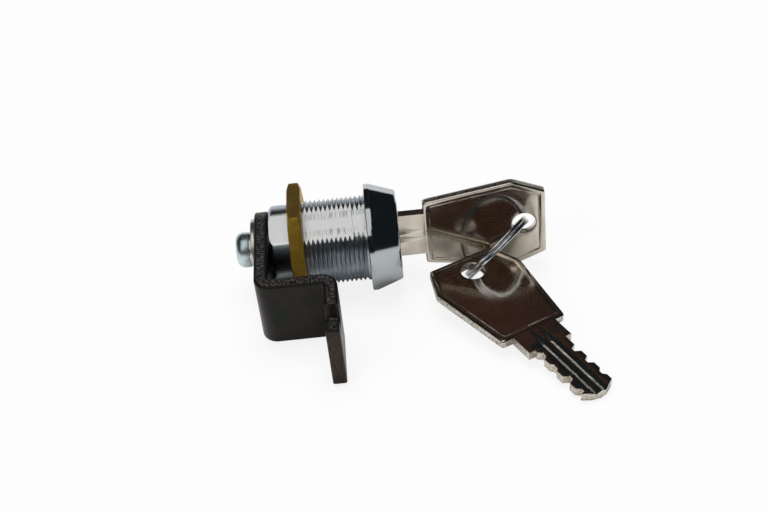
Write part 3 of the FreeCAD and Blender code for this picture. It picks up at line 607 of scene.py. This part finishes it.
def make_washer(finish):
    """A flat ring with rounded edges."""
    profile = rounded([[WASHER_FRONT, WASHER_HOLE], [WASHER_FRONT, WASHER_RADIUS],
                       [WASHER_REAR, WASHER_RADIUS], [WASHER_REAR, WASHER_HOLE]],
                      [0.1, 0.35, 0.12, 0.1], 5, closed=True)
    points = swung(profile, around(96))
    return piece("plain_washer", [shell(points, close_rows=True)], "plug", ["cam_washer"],
                 finish)


def make_spring_washer(finish):
    """A rounded square section carried round the axis, and drawn back along it by the turn."""
    turn = np.linspace(PLUG_ROLL + SPRING_GAP, PLUG_ROLL + 360 - SPRING_GAP, 100)
    turn = np.radians(turn)[:, None]
    rise = np.linspace(-SPRING_RISE, SPRING_RISE, len(turn))[:, None]
    section = bar_section(SPRING_HALF_WIDTH, SPRING_HALF_HEIGHT, 0.15, 4)
    coil = side_by_side(SPRING_X + rise + section[:, 0], SPRING_RADIUS + section[:, 1])
    return piece("spring_washer_coil", [shell(capped(swung(coil, turn)))], "plug",
                 ["spring_washer"], finish)


def cross_depth(y, z):
    """How deep the cross recess is: two arms with steep walls, shallower away from the axis."""
    turn = math.radians(PLUG_ROLL + SCREW_TURN)
    a = np.abs(y * math.cos(turn) + z * math.sin(turn))
    b = np.abs(z * math.cos(turn) - y * math.sin(turn))

    def wall(distance):
        return np.clip(distance / CROSS_WALL + 0.5, 0, 1)

    arms = np.maximum(wall(CROSS_HALF - a) * wall(CROSS_REACH - b),
                      wall(CROSS_HALF - b) * wall(CROSS_REACH - a))
    return np.maximum(arms * (CROSS_DEPTH - CROSS_SLOPE * np.sqrt(y ** 2 + z ** 2)), 0)


def make_screw(finish):
    """A pan head: x falls with the square of the radius, and the cross is cut in by its own depth."""
    r = np.linspace(0, DOME_RADIUS, 56)
    dome = side_by_side(SCREW_REAR + DOME_RISE * (r / DOME_RADIUS) ** 2, r)
    swell = np.linspace(0.12, QUARTER, 18)
    edge = side_by_side(SCREW_REAR + DOME_RISE + SWELL_LENGTH * (1 - np.cos(swell)),
                        DOME_RADIUS + SWELL_REACH * np.sin(swell))
    skirt = np.array([[-0.12, 3.95], [-0.03, 3.9], [0, 3.8], [0, SCREW_RADIUS],
                      [SCREW_LENGTH / 2, SCREW_RADIUS], [SCREW_LENGTH - 0.1, 1.0], [SCREW_LENGTH, 0]])
    rows = np.concatenate([dome, edge, skirt + [SCREW_SEAT, 0]])
    points = swung(rows, around(240))
    top = points[:len(dome)]
    top[..., 0] += cross_depth(top[..., 1], top[..., 2])
    return piece("pan_screw", [shell(points)], "plug", ["cam_screw"], finish, smooth=38)


# Keys: a bow round its hole, and a shank with a cut blade. X runs along the key from the shoulder.

KEY_START = 7.05
KEY_HALF = 1.05
SHOULDER = 5.5
SHOULDER_HALF = 5.5
BOW = 27.1
BOW_WIDE = 11.2
BOW_NARROW = 8.1
BOW_SHORT_SIDE = 7.2
BOW_SHARPNESS = 70
BOW_OUTLINE = 80
BOW_COLUMNS = 300
BOW_RIM_FOOT = 1.55
BOW_RIM_SLOPE = 1.3
BOW_RIM_TOP = 0.95
PANEL_DEPTH = 0.2
PANEL_CROWN = 0.05
HOLE_FROM_END = 4.8
HOLE = SHOULDER + BOW - HOLE_FROM_END
HOLE_RADIUS = 2.6
BLADE_TIP = -16.5
BLADE_HALF = 4.0
TIP_HALF = 1.3
CUTS = [0.9, 1.3, 0.6, 1.1, 1.3, 0.7, 1.0]
FIRST_CUT = -2.0
CUT_SPACING = 2.05
CUT_MOUTH = 1.15
CUT_FLOOR = 0.45
KEY_GROOVE_MIDDLE = 1.05
KEY_GROOVE_HALF = 0.98
KEY_GROOVE_DEPTH = 0.33
KEY_GROOVE_POINT = 5.2
KEY_GROOVE_TAPER = 4.6
SHANK_END = SHOULDER + 1.2


def bow_reach(angle, inward):
    """Along a ray from the hole: the power mean of distance / cos over the six sides, less a rim."""
    slant = BOW_WIDE - BOW_NARROW
    long_side = math.atan2(slant, BOW - BOW_SHORT_SIDE)
    short_side = math.atan2(slant, BOW_SHORT_SIDE)
    normals = np.array([0, QUARTER - short_side, QUARTER + long_side, math.pi,
                        -QUARTER - long_side, -QUARTER + short_side])
    far = SHOULDER + BOW
    on_sides = np.array([[far, BOW_NARROW], [far, BOW_NARROW], [SHOULDER, BOW_NARROW],
                         [SHOULDER, BOW_NARROW], [SHOULDER, -BOW_NARROW], [far, -BOW_NARROW]])
    place = on_sides - [HOLE, 0]
    distance = place[:, 0] * np.cos(normals) + place[:, 1] * np.sin(normals)
    facing = np.maximum(np.cos(angle[:, None] - normals), LEAST)
    share = np.sum((facing / (distance - inward)) ** BOW_SHARPNESS, axis=1)
    return share ** (-1 / BOW_SHARPNESS)


def bow_angles():
    """Angles of rays from the hole that divide the outline into equal lengths."""
    fine = np.linspace(0, 2 * math.pi, 6001)
    reach = bow_reach(fine, 0)
    xy = np.stack([reach * np.cos(fine), reach * np.sin(fine)], axis=-1)
    run = np.concatenate([[0], np.cumsum(np.linalg.norm(np.diff(xy, axis=0), axis=1))])
    return np.interp(np.arange(BOW_COLUMNS) / BOW_COLUMNS * run[-1], run, fine)


def bow_points():
    """Rows go round the section of the bow: hole, crowned panel, raised rim, edge, and back under."""
    angle = bow_angles()
    outer = bow_reach(angle, 0)
    foot = bow_reach(angle, BOW_RIM_FOOT)
    slope = bow_reach(angle, BOW_RIM_SLOPE)
    top = bow_reach(angle, BOW_RIM_TOP)
    hole = np.full(BOW_COLUMNS, HOLE_RADIUS)
    panel = KEY_HALF - PANEL_DEPTH
    section = [(hole, 0, 0), (hole, panel, 0.22)]
    for share in (0.2, 0.4, 0.6, 0.8):
        crown = PANEL_CROWN * math.sin(math.pi * share)
        section.append((hole + (foot - hole) * share, panel + crown, 0))
    section += [(foot, panel, 0.12), (slope, KEY_HALF - 0.08, 0.12), (top, KEY_HALF, 0.3),
                (outer, KEY_HALF, 0.66), (outer, 0, 0)]
    upper = np.array([side_by_side(reach, height) for reach, height, radius in section])
    under = upper[-2:0:-1] * [1, -1]
    radii = [radius for reach, height, radius in section]
    rows = rounded(np.concatenate([upper, under]), radii + radii[-2:0:-1], 6, closed=True)
    reach, height = rows[..., 0], rows[..., 1]
    points = np.stack([HOLE + reach * np.cos(angle), reach * np.sin(angle), height], axis=-1)
    side = np.clip((reach - outer) / 0.06 + 1, 0, 1) * (np.abs(height) < KEY_HALF - 0.04)
    run = np.arange(BOW_COLUMNS) / BOW_COLUMNS * BOW_OUTLINE
    return points, side_by_side(run, side, height)


def blade_edge(x, side):
    """Half width at x: the shoulder, the blade, and the cuts of one side as straight slopes."""
    places, halves = [BLADE_TIP, BLADE_TIP + 1.6], [TIP_HALF, BLADE_HALF]
    for index in range(len(CUTS) - 1, -1, -1):
        if index % 2 != side:
            continue
        middle = FIRST_CUT - index * CUT_SPACING
        for offset, depth in ((-CUT_MOUTH, 0), (-CUT_FLOOR, CUTS[index]),
                              (CUT_FLOOR, CUTS[index]), (CUT_MOUTH, 0)):
            if middle + offset > places[-1]:
                places.append(middle + offset)
                halves.append(BLADE_HALF - depth)
            elif depth:
                places[-1] = middle + offset
                halves[-1] = BLADE_HALF - depth
    places += [-0.02, 0.02, SHANK_END]
    halves += [BLADE_HALF, SHOULDER_HALF, SHOULDER_HALF]
    return np.interp(x, places, halves)


def groove_cut(x, y):
    """Depth of the two grooves of each face: a V across each, narrowing to a point at its end."""
    fade = np.clip((KEY_GROOVE_POINT - x) / KEY_GROOVE_TAPER, LEAST, 1)
    near = np.abs(np.abs(y) - KEY_GROOVE_MIDDLE) / (KEY_GROOVE_HALF * fade ** 0.7)
    return KEY_GROOVE_DEPTH * fade ** 0.8 * np.clip(1 - near, 0, 1)


def shank_points():
    """Stations along x. Each section is two faces between the edges, with the edges rounded off."""
    x = np.concatenate([np.linspace(BLADE_TIP, SHANK_END, 236), [-0.02, 0.02, -0.01, 0.01]])
    x = np.unique(x)[:, None]
    up, low = blade_edge(x, 0), blade_edge(x, 1)
    inward = np.array([0, 0.1, 0.2, 0.45, 1.0])
    middle = np.clip(np.linspace(1.95, -1.95, 27), 1.02 - low, up - 1.02)
    y = np.concatenate([up - inward, middle, inward[::-1] - low], axis=1)
    from_edge = np.minimum(up - y, y + low)
    drop = 0.03 + 0.12 * np.clip(1 - from_edge / 0.14, 0, 1) ** 2
    face = side_by_side(x, y, KEY_HALF - drop - groove_cut(x, y))
    points = np.concatenate([face, face[:, ::-1] * [1, 1, -1]], axis=1)
    side = np.clip(1 - from_edge / 0.1, 0, 1) * 0.6
    side = np.concatenate([side, side[:, ::-1]], axis=1)
    marks = side_by_side(points[..., 0], side, points[..., 2])
    return capped(points), np.concatenate([marks[:1], marks, marks[-1:]])


def make_key(name, node, place, finish):
    """A key from its two shells, moved to its place by a function of its points."""
    bow, bow_marks = bow_points()
    shank, shank_marks = shank_points()
    shells = [shell(place(bow), close_rows=True), shell(place(shank))]
    marks = np.concatenate([bow_marks.reshape(-1, 3), shank_marks.reshape(-1, 3)])
    return piece(name, shells, node, [node], finish, {"edge": marks}, smooth=28)


def in_lock(points):
    """A key's points where it stands in the plug."""
    return turn_x(points, PLUG_ROLL) + [KEY_START, 0, 0]


def turn_matrix(heading, pitch, roll):
    """Roll about the length, then pitch up, then heading, as one matrix."""
    h, p, r = np.radians([heading, -pitch, roll])
    about_z = np.array([[math.cos(h), -math.sin(h), 0], [math.sin(h), math.cos(h), 0], [0, 0, 1]])
    about_y = np.array([[math.cos(p), 0, math.sin(p)], [0, 1, 0], [-math.sin(p), 0, math.cos(p)]])
    about_x = np.array([[1, 0, 0], [0, math.cos(r), -math.sin(r)], [0, math.sin(r), math.cos(r)]])
    return about_z @ about_y @ about_x


SPARE_HOLE = np.array([22.0779, -9.3121, -6.2863])
SPARE_TURN = turn_matrix(119.35, 5.75, 2.3)


def on_table(points):
    """A key's points where the spare key lies, hung by its hole."""
    return (points - [HOLE, 0, 0]) @ SPARE_TURN.T + SPARE_HOLE


# The split ring: one wire wound twice, with a step from the first coil to the second

RING_RADIUS = 8.75
WIRE_HALF_WIDTH = 0.55
WIRE_HALF_HEIGHT = 0.43
RING_HEADING = 30.7
RING_RISE = 25.6
RING_ROLL = 42.9
FIRST_HOLE = 5.4
WIRE_START = 33
WIRE_END = 687
WIRE_TURNED = 250.0
WIRE_PER_DEGREE = 0.153
STEP_START = 333
STEP_TURN = 54
COIL_OFFSET = 0.45
WIRE_IN_HOLE = 0.34


def ring_frame():
    """The ring's centre and its three axes, from its heading, rise and roll to the first hole."""
    heading, rise, roll, first = np.radians([RING_HEADING, RING_RISE, RING_ROLL, FIRST_HOLE])
    along = np.array([math.cos(heading) * math.cos(rise), math.sin(heading) * math.cos(rise),
                      math.sin(rise)])
    level = np.array([-math.sin(heading), math.cos(heading), 0])
    second = np.cross(along, level) * math.cos(roll) - level * math.sin(roll)
    wire = (along * math.cos(first) + second * math.sin(first)) * RING_RADIUS
    centre = np.array([KEY_START + HOLE, 0, 0]) + along * WIRE_IN_HOLE - wire
    return centre, along, second, np.cross(along, second)


def make_ring(finish):
    """A rounded rectangle carried round two turns, set over by a smooth step in its middle."""
    turn = np.linspace(WIRE_START, WIRE_END, 520)[:, None]
    step = np.clip((turn - STEP_START) / STEP_TURN, 0, 1)
    shift = (step * step * (3 - 2 * step) * 2 - 1) * COIL_OFFSET
    to_end = np.minimum(turn - WIRE_START, WIRE_END - turn)
    taper = 0.75 + 0.25 * np.clip(to_end / 4, 0, 1)
    section = bar_section(WIRE_HALF_WIDTH, WIRE_HALF_HEIGHT, 0.3, 5)
    radius = (RING_RADIUS + section[:, 0] * taper)[..., None]
    off = (shift + section[:, 1] * taper)[..., None]
    angle = np.radians(turn + WIRE_TURNED)[..., None]
    centre, along, second, axis = ring_frame()
    points = centre + radius * (np.cos(angle) * along + np.sin(angle) * second) + off * axis
    run = np.pad(turn[:, 0], 1, mode="edge") * WIRE_PER_DEGREE
    marks = side_by_side(run[:, None], section[:, 0], section[:, 1])
    return piece("ring_wire", [shell(capped(points))], "split_ring", ["split_ring"],
                 finish, {"wire": marks}, smooth=40)


# Finishes

def body_finish():
    """Zinc on the barrel, planed with rows of tool marks on its flats, and chrome on the head."""
    up = tuple(turn_x(np.array([0.0, 0.0, 1.0]), BODY_ROLL))
    level = tuple(turn_x(np.array([0.0, 1.0, 0.0]), BODY_ROLL))

    def on_head(paint, at):
        return paint.part(at, 0).step(-0.15, 0.1)

    def on_flats(paint, at):
        planed = abs(paint.along(at, up)).step(FLAT_HALF - 0.15, FLAT_HALF - 0.02)
        return planed * (1 - on_head(paint, at))

    def tool_rows(paint, at):
        across = abs(paint.along(at, level))
        on_thread = paint.part(at, 0).step(THREAD_END - 0.1, THREAD_END + 0.2)
        return across.step(1.0, 1.6) * (1 - across.step(2.4, 3.0)) * on_thread

    def strokes(paint, at):
        return paint.noise(paint.stretch(at, (3.4, 0.22, 0.22)), 1.0, 1.0)

    def colour(paint, at):
        x = paint.part(at, 0)
        cloud = paint.noise(at, 0.35, 4.0)
        zinc = paint.mix(cloud.step(0.35, 0.7), (0.38, 0.43, 0.47), (0.50, 0.55, 0.58))
        worn = x.step(-12.5, -7.0) * (1 - x.step(-5.0, -3.6))
        hatch = strokes(paint, at).step(0.42, 0.66) * tool_rows(paint, at) * (0.15 + worn * 0.4)
        planed = paint.mix(hatch, (0.90, 0.91, 0.90), (0.30, 0.32, 0.32))
        zinc = paint.mix(on_flats(paint, at), zinc, planed)
        return paint.mix(on_head(paint, at), zinc, (0.45, 0.48, 0.485))

    def roughness(paint, at):
        head = on_head(paint, at)
        zinc = 0.24 + paint.noise(at, 3.0, 3.0) * 0.12 + on_flats(paint, at) * 0.08
        return zinc * (1 - head) + head * (0.07 + paint.noise(at, 0.9) * 0.06)

    def bump(paint, at):
        tool = strokes(paint, at).step(0.42, 0.72) * (0.2 + tool_rows(paint, at) * 0.8)
        fine = paint.noise(at, 2.0, 2.0)
        return tool * on_flats(paint, at) + fine * (0.08 - on_head(paint, at) * 0.07), 0.03

    return metal("bright_zinc_and_chrome", colour, roughness, bump)


def brass_finish():
    """Dull brass in clouds, with dark specks and saw lines."""
    def colour(paint, at):
        cloud = paint.noise(at, 0.4, 5.0)
        speck = paint.noise(at, 2.6, 3.0).step(0.62, 0.72)
        base = paint.mix(cloud.step(0.35, 0.68), (0.50, 0.31, 0.035), (0.62, 0.41, 0.075))
        return paint.mix(speck * 0.2, base, (0.34, 0.22, 0.06))

    def roughness(paint, at):
        return 0.40 + paint.noise(at, 1.1, 4.0) * 0.14

    def bump(paint, at):
        saw = paint.noise(paint.stretch(at, (0.15, 1.0, 1.0)), 1.6, 3.0)
        return saw * 0.7 + paint.noise(at, 3.0) * 0.3, 0.008

    return metal("dull_brass", colour, roughness, bump)


def black_finish():
    """Black plating. The strip's mark holds its run, how far a place is sheared, and its height."""
    def torn(paint, strip):
        return paint.noise(paint.stretch(strip, (1.0, 0.0, 0.45)), 2.6, 5.0, 0.7)

    def between_borders(paint, strip):
        return 1 - abs(paint.part(strip, 2)).step(0.7, 1.15)

    def colour(paint, at):
        strip = paint.mark("strip")
        sheared = paint.part(strip, 1)
        cloud = paint.noise(at, 0.22, 4.0)
        tint = paint.mix(cloud.step(0.35, 0.65), (0.010, 0.014, 0.010), (0.024, 0.016, 0.016))
        drawn = paint.noise(paint.stretch(at, (4.0, 0.6, 0.6)), 1.0, 3.0)
        brown = paint.mix(drawn.step(0.4, 0.65), (0.022, 0.016, 0.011), (0.052, 0.038, 0.028))
        tint = paint.mix(sheared.step(0.05, 0.22), tint, brown)
        bare = torn(paint, strip).step(0.44, 0.66) * between_borders(paint, strip)
        grey = paint.mix(bare, (0.016, 0.014, 0.013), (0.26, 0.25, 0.235))
        return paint.mix(sheared.step(0.3, 0.9), tint, grey)

    def roughness(paint, at):
        sheared = paint.part(paint.mark("strip"), 1)
        return 0.22 + paint.noise(at, 0.8, 4.0) * 0.16 + sheared * 0.18

    def bump(paint, at):
        strip = paint.mark("strip")
        tear = torn(paint, strip) * paint.part(strip, 1) * between_borders(paint, strip)
        return tear + paint.noise(at, 0.6, 3.0) * 0.2, 0.12

    return metal("black_plated_steel", colour, roughness, bump, metallic=0.75)


def nickel_finish():
    """Bright nickel. The edge's mark holds its run, how far a place is sheared, and its height."""
    def colour(paint, at):
        cloud = paint.noise(at, 0.3, 4.0)
        base = paint.mix(cloud.step(0.35, 0.7), (0.60, 0.54, 0.46), (0.70, 0.65, 0.57))
        sheared = paint.part(paint.mark("edge"), 1)
        torn = paint.noise(at, 2.6, 5.0, 0.75).step(0.50, 0.60)
        return paint.mix(torn * sheared.step(0.2, 0.8), base, (0.05, 0.045, 0.04))

    def roughness(paint, at):
        sheared = paint.part(paint.mark("edge"), 1)
        return 0.10 + paint.noise(at, 2.5, 3.0) * 0.04 + sheared * 0.16

    def bump(paint, at):
        edge = paint.mark("edge")
        line = paint.noise(paint.stretch(edge, (1.0, 0.0, 0.12)), 4.5, 4.0, 0.65)
        torn = paint.noise(at, 3.0, 4.0, 0.7)
        wave = paint.noise(at, 0.35, 2.0)
        return (line * 0.8 + torn * 0.5) * paint.part(edge, 1) + wave * 0.25, 0.10

    return metal("bright_nickel", colour, roughness, bump)


def wire_finish():
    """Drawn spring steel, with lines along the wire."""
    def colour(paint, at):
        cloud = paint.noise(at, 0.8, 3.0)
        return paint.mix(cloud.step(0.4, 0.65), (0.60, 0.62, 0.65), (0.74, 0.75, 0.77))

    def roughness(paint, at):
        return 0.12 + paint.noise(at, 2.0, 3.0) * 0.12

    def bump(paint, at):
        return paint.noise(paint.stretch(paint.mark("wire"), (0.12, 9.0, 9.0)), 2.0, 3.0), 0.02

    return metal("bright_spring_steel", colour, roughness, bump)


def plated(name, dark, light, rough, spread, grain):
    """Plated or machined small parts: two tones in clouds, faint rings about the axis, fine grain."""
    def colour(paint, at):
        return paint.mix(paint.noise(at, 0.7, 4.0).step(0.36, 0.66), dark, light)

    def roughness(paint, at):
        return rough + paint.noise(at, 2.2, 3.0) * spread

    def bump(paint, at):
        turned = paint.noise(paint.stretch(at, (1.0, 0.1, 0.1)), 6.0, 3.0)
        return turned * 0.5 + paint.noise(at, 5.0, 3.0) * 0.5, grain

    return metal(name, colour, roughness, bump)


screw_finish = plated("blue_zinc", (0.52, 0.64, 0.67), (0.70, 0.80, 0.82), 0.28, 0.14, 0.02)
washer_finish = plated("pale_zinc", (0.60, 0.59, 0.52), (0.78, 0.76, 0.68), 0.26, 0.16, 0.03)
plug_finish = plated("plug_zinc", (0.60, 0.60, 0.58), (0.76, 0.75, 0.72), 0.20, 0.12, 0.02)
wafer_finish = plated("wafer_sheet_brass", (0.66, 0.50, 0.20), (0.82, 0.66, 0.30), 0.24, 0.14, 0.02)
spring_finish = plated("fine_spring_wire", (0.46, 0.46, 0.47), (0.66, 0.66, 0.68), 0.18, 0.10, 0.01)


def dress(node, finish):
    """Give a solid of the frame a better material in place of its plain one."""
    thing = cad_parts[node]
    thing.data.materials.clear()
    thing.data.materials.append(finish)


# The whole lock

make_body(body_finish())
make_nut(brass_finish())
make_cam(black_finish())
make_washer(washer_finish)
make_spring_washer(washer_finish)
make_screw(screw_finish)
nickel = nickel_finish()
make_key("key_and_bow", "key_in_lock", in_lock, nickel)
make_key("loose_key", "spare_key", on_table, nickel)
make_ring(wire_finish())
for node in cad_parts:
    if node == "plug":
        dress(node, plug_finish)
    elif node.startswith("wafer_spring"):
        dress(node, spring_finish)
    elif node.startswith("wafer"):
        dress(node, wafer_finish)


# Stage, in metres: a white table, dark walls that only reflections see, soft lamps, and the camera

ROOM = 1.3
ROOM_TOP = 3.0
FRONT_TOP = 1.0
TABLE_HALF = 1.4
CARD_PLACE = 1.28
WHITE = (1.0, 1.0, 1.0)
EYE = (5.53, -256.5, 178.8)
VIEW = (-0.0079, 0.8119, -0.5838)
RIGHT = (0.9946, -0.0541, -0.0888)


def flat_card(name, low, high, material):
    """A rectangle between two corners that agree on one axis."""
    first, second = [axis for axis in range(3) if low[axis] != high[axis]]
    ahead, aside = list(low), list(low)
    ahead[first] = high[first]
    aside[second] = high[second]
    mesh = bpy.data.meshes.new(name)
    mesh.from_pydata([low, ahead, high, aside], [], [(0, 1, 2, 3)])
    mesh.materials.append(material)
    card = bpy.data.objects.new(name, mesh)
    bpy.context.scene.collection.objects.link(card)
    return card


def table_material():
    """White paper that the camera sees as mostly glowing, so that it keeps only the shadow."""
    material, paint = new_material("white_table")
    camera_ray = paint.node("ShaderNodeLightPath", output="Is Camera Ray")
    paper = paint.node("ShaderNodeBsdfDiffuse", None, {"Color": (0.92, 0.92, 0.92)})
    glow = paint.node("ShaderNodeEmission", None, {"Color": WHITE, "Strength": 1.0})
    both = paint.node("ShaderNodeMixShader", None, {0: camera_ray * 0.85, 1: paper, 2: glow})
    paint.finish(both, "ShaderNodeOutputMaterial")
    return material


def wall_material(name, colour):
    """One plain tone, whatever lights it."""
    material, paint = new_material(name)
    tone = paint.node("ShaderNodeEmission", None, {"Color": colour, "Strength": 1.0})
    paint.finish(tone, "ShaderNodeOutputMaterial")
    return material


def light_world(level):
    """A white sky that lights the lock at a level, and is pure white to the camera and mirrors."""
    world = bpy.data.worlds.new("studio")
    bpy.context.scene.world = world
    world.use_nodes = True
    paint = Paint(world.node_tree)
    seen = paint.node("ShaderNodeLightPath", output="Is Camera Ray")
    mirrored = paint.node("ShaderNodeLightPath", output="Is Glossy Ray")
    passed = paint.node("ShaderNodeLightPath", output="Is Transmission Ray")
    strength = (seen + mirrored + passed).least(1.0) * (1 - level) + level
    sky = paint.node("ShaderNodeBackground", None, {"Color": WHITE, "Strength": strength})
    paint.finish(sky, "ShaderNodeOutputWorld")


def set_axes(thing, side, up, back, place):
    """An object's three axes and its place."""
    grid = np.eye(4)
    grid[:3, 0], grid[:3, 1], grid[:3, 2], grid[:3, 3] = side, up, back, place
    thing.matrix_world = Matrix(grid.tolist())


def soft_lamp(name, place, size, power):
    """A square lamp that faces the lock and that mirrors don't show."""
    lamp = bpy.data.lights.new(name, "AREA")
    lamp.shape = "SQUARE"
    lamp.size = size
    lamp.energy = power
    thing = bpy.data.objects.new(name, lamp)
    bpy.context.scene.collection.objects.link(thing)
    thing.visible_glossy = False
    back = np.array(place) / np.linalg.norm(place)
    side = np.cross([0, 1, 0.01], back)
    side /= np.linalg.norm(side)
    set_axes(thing, side, np.cross(back, side), back, place)


def place_camera():
    """The camera as fitted to the photograph."""
    camera = bpy.data.cameras.new("camera")
    camera.sensor_width = 36.0
    camera.lens = 65.625
    camera.clip_start = 0.005
    camera.clip_end = 20.0
    thing = bpy.data.objects.new("camera", camera)
    bpy.context.scene.collection.objects.link(thing)
    view = np.array(VIEW) / np.linalg.norm(VIEW)
    right = np.array(RIGHT) - view * view.dot(RIGHT)
    right /= np.linalg.norm(right)
    set_axes(thing, right, np.cross(right, view), -view, np.array(EYE) * MM)
    bpy.context.scene.camera = thing


def make_stage():
    """The table, and walls that leave an opening above and in front for the sky to be mirrored."""
    floor = TABLE * MM
    flat_card("table", (-TABLE_HALF, -TABLE_HALF, floor), (TABLE_HALF, TABLE_HALF, floor),
              table_material())
    dark = wall_material("dark_wall", (0.012, 0.016, 0.019))
    brown = wall_material("brown_card", (0.048, 0.026, 0.019))
    walls = [
        ("back_wall", (-ROOM, ROOM, 0.40), (ROOM, ROOM, ROOM_TOP), dark),
        ("back_ceiling", (-ROOM, 0.4, ROOM_TOP), (ROOM, ROOM, ROOM_TOP), dark),
        ("front_wall", (-ROOM, -ROOM, floor), (ROOM, -ROOM, FRONT_TOP), dark),
        ("front_side_wall", (0.6, -ROOM, FRONT_TOP), (ROOM, -ROOM, ROOM_TOP), dark),
        ("right_wall", (ROOM, -ROOM, floor), (ROOM, ROOM, ROOM_TOP), dark),
        ("left_wall", (-ROOM, -ROOM, floor), (-ROOM, ROOM, ROOM_TOP), dark),
        ("back_card", (0.02, CARD_PLACE, 0.80), (0.46, CARD_PLACE, ROOM_TOP), brown),
        ("front_card", (0.02, -CARD_PLACE, 0.30), (0.60, -CARD_PLACE, 1.6), brown),
    ]
    for name, low, high, tone in walls:
        card = flat_card(name, low, high, tone)
        card.visible_camera = False
        card.visible_diffuse = False
        card.visible_shadow = False
        card.visible_transmission = False
    light_world(0.35)
    soft_lamp("overhead", (0.0, 0.05, 0.9), 0.6, 5.0)
    soft_lamp("front", (-0.7, -0.6, 0.7), 0.5, 2.5)
    place_camera()
    bpy.context.scene.view_settings.view_transform = "Standard"


make_stage()
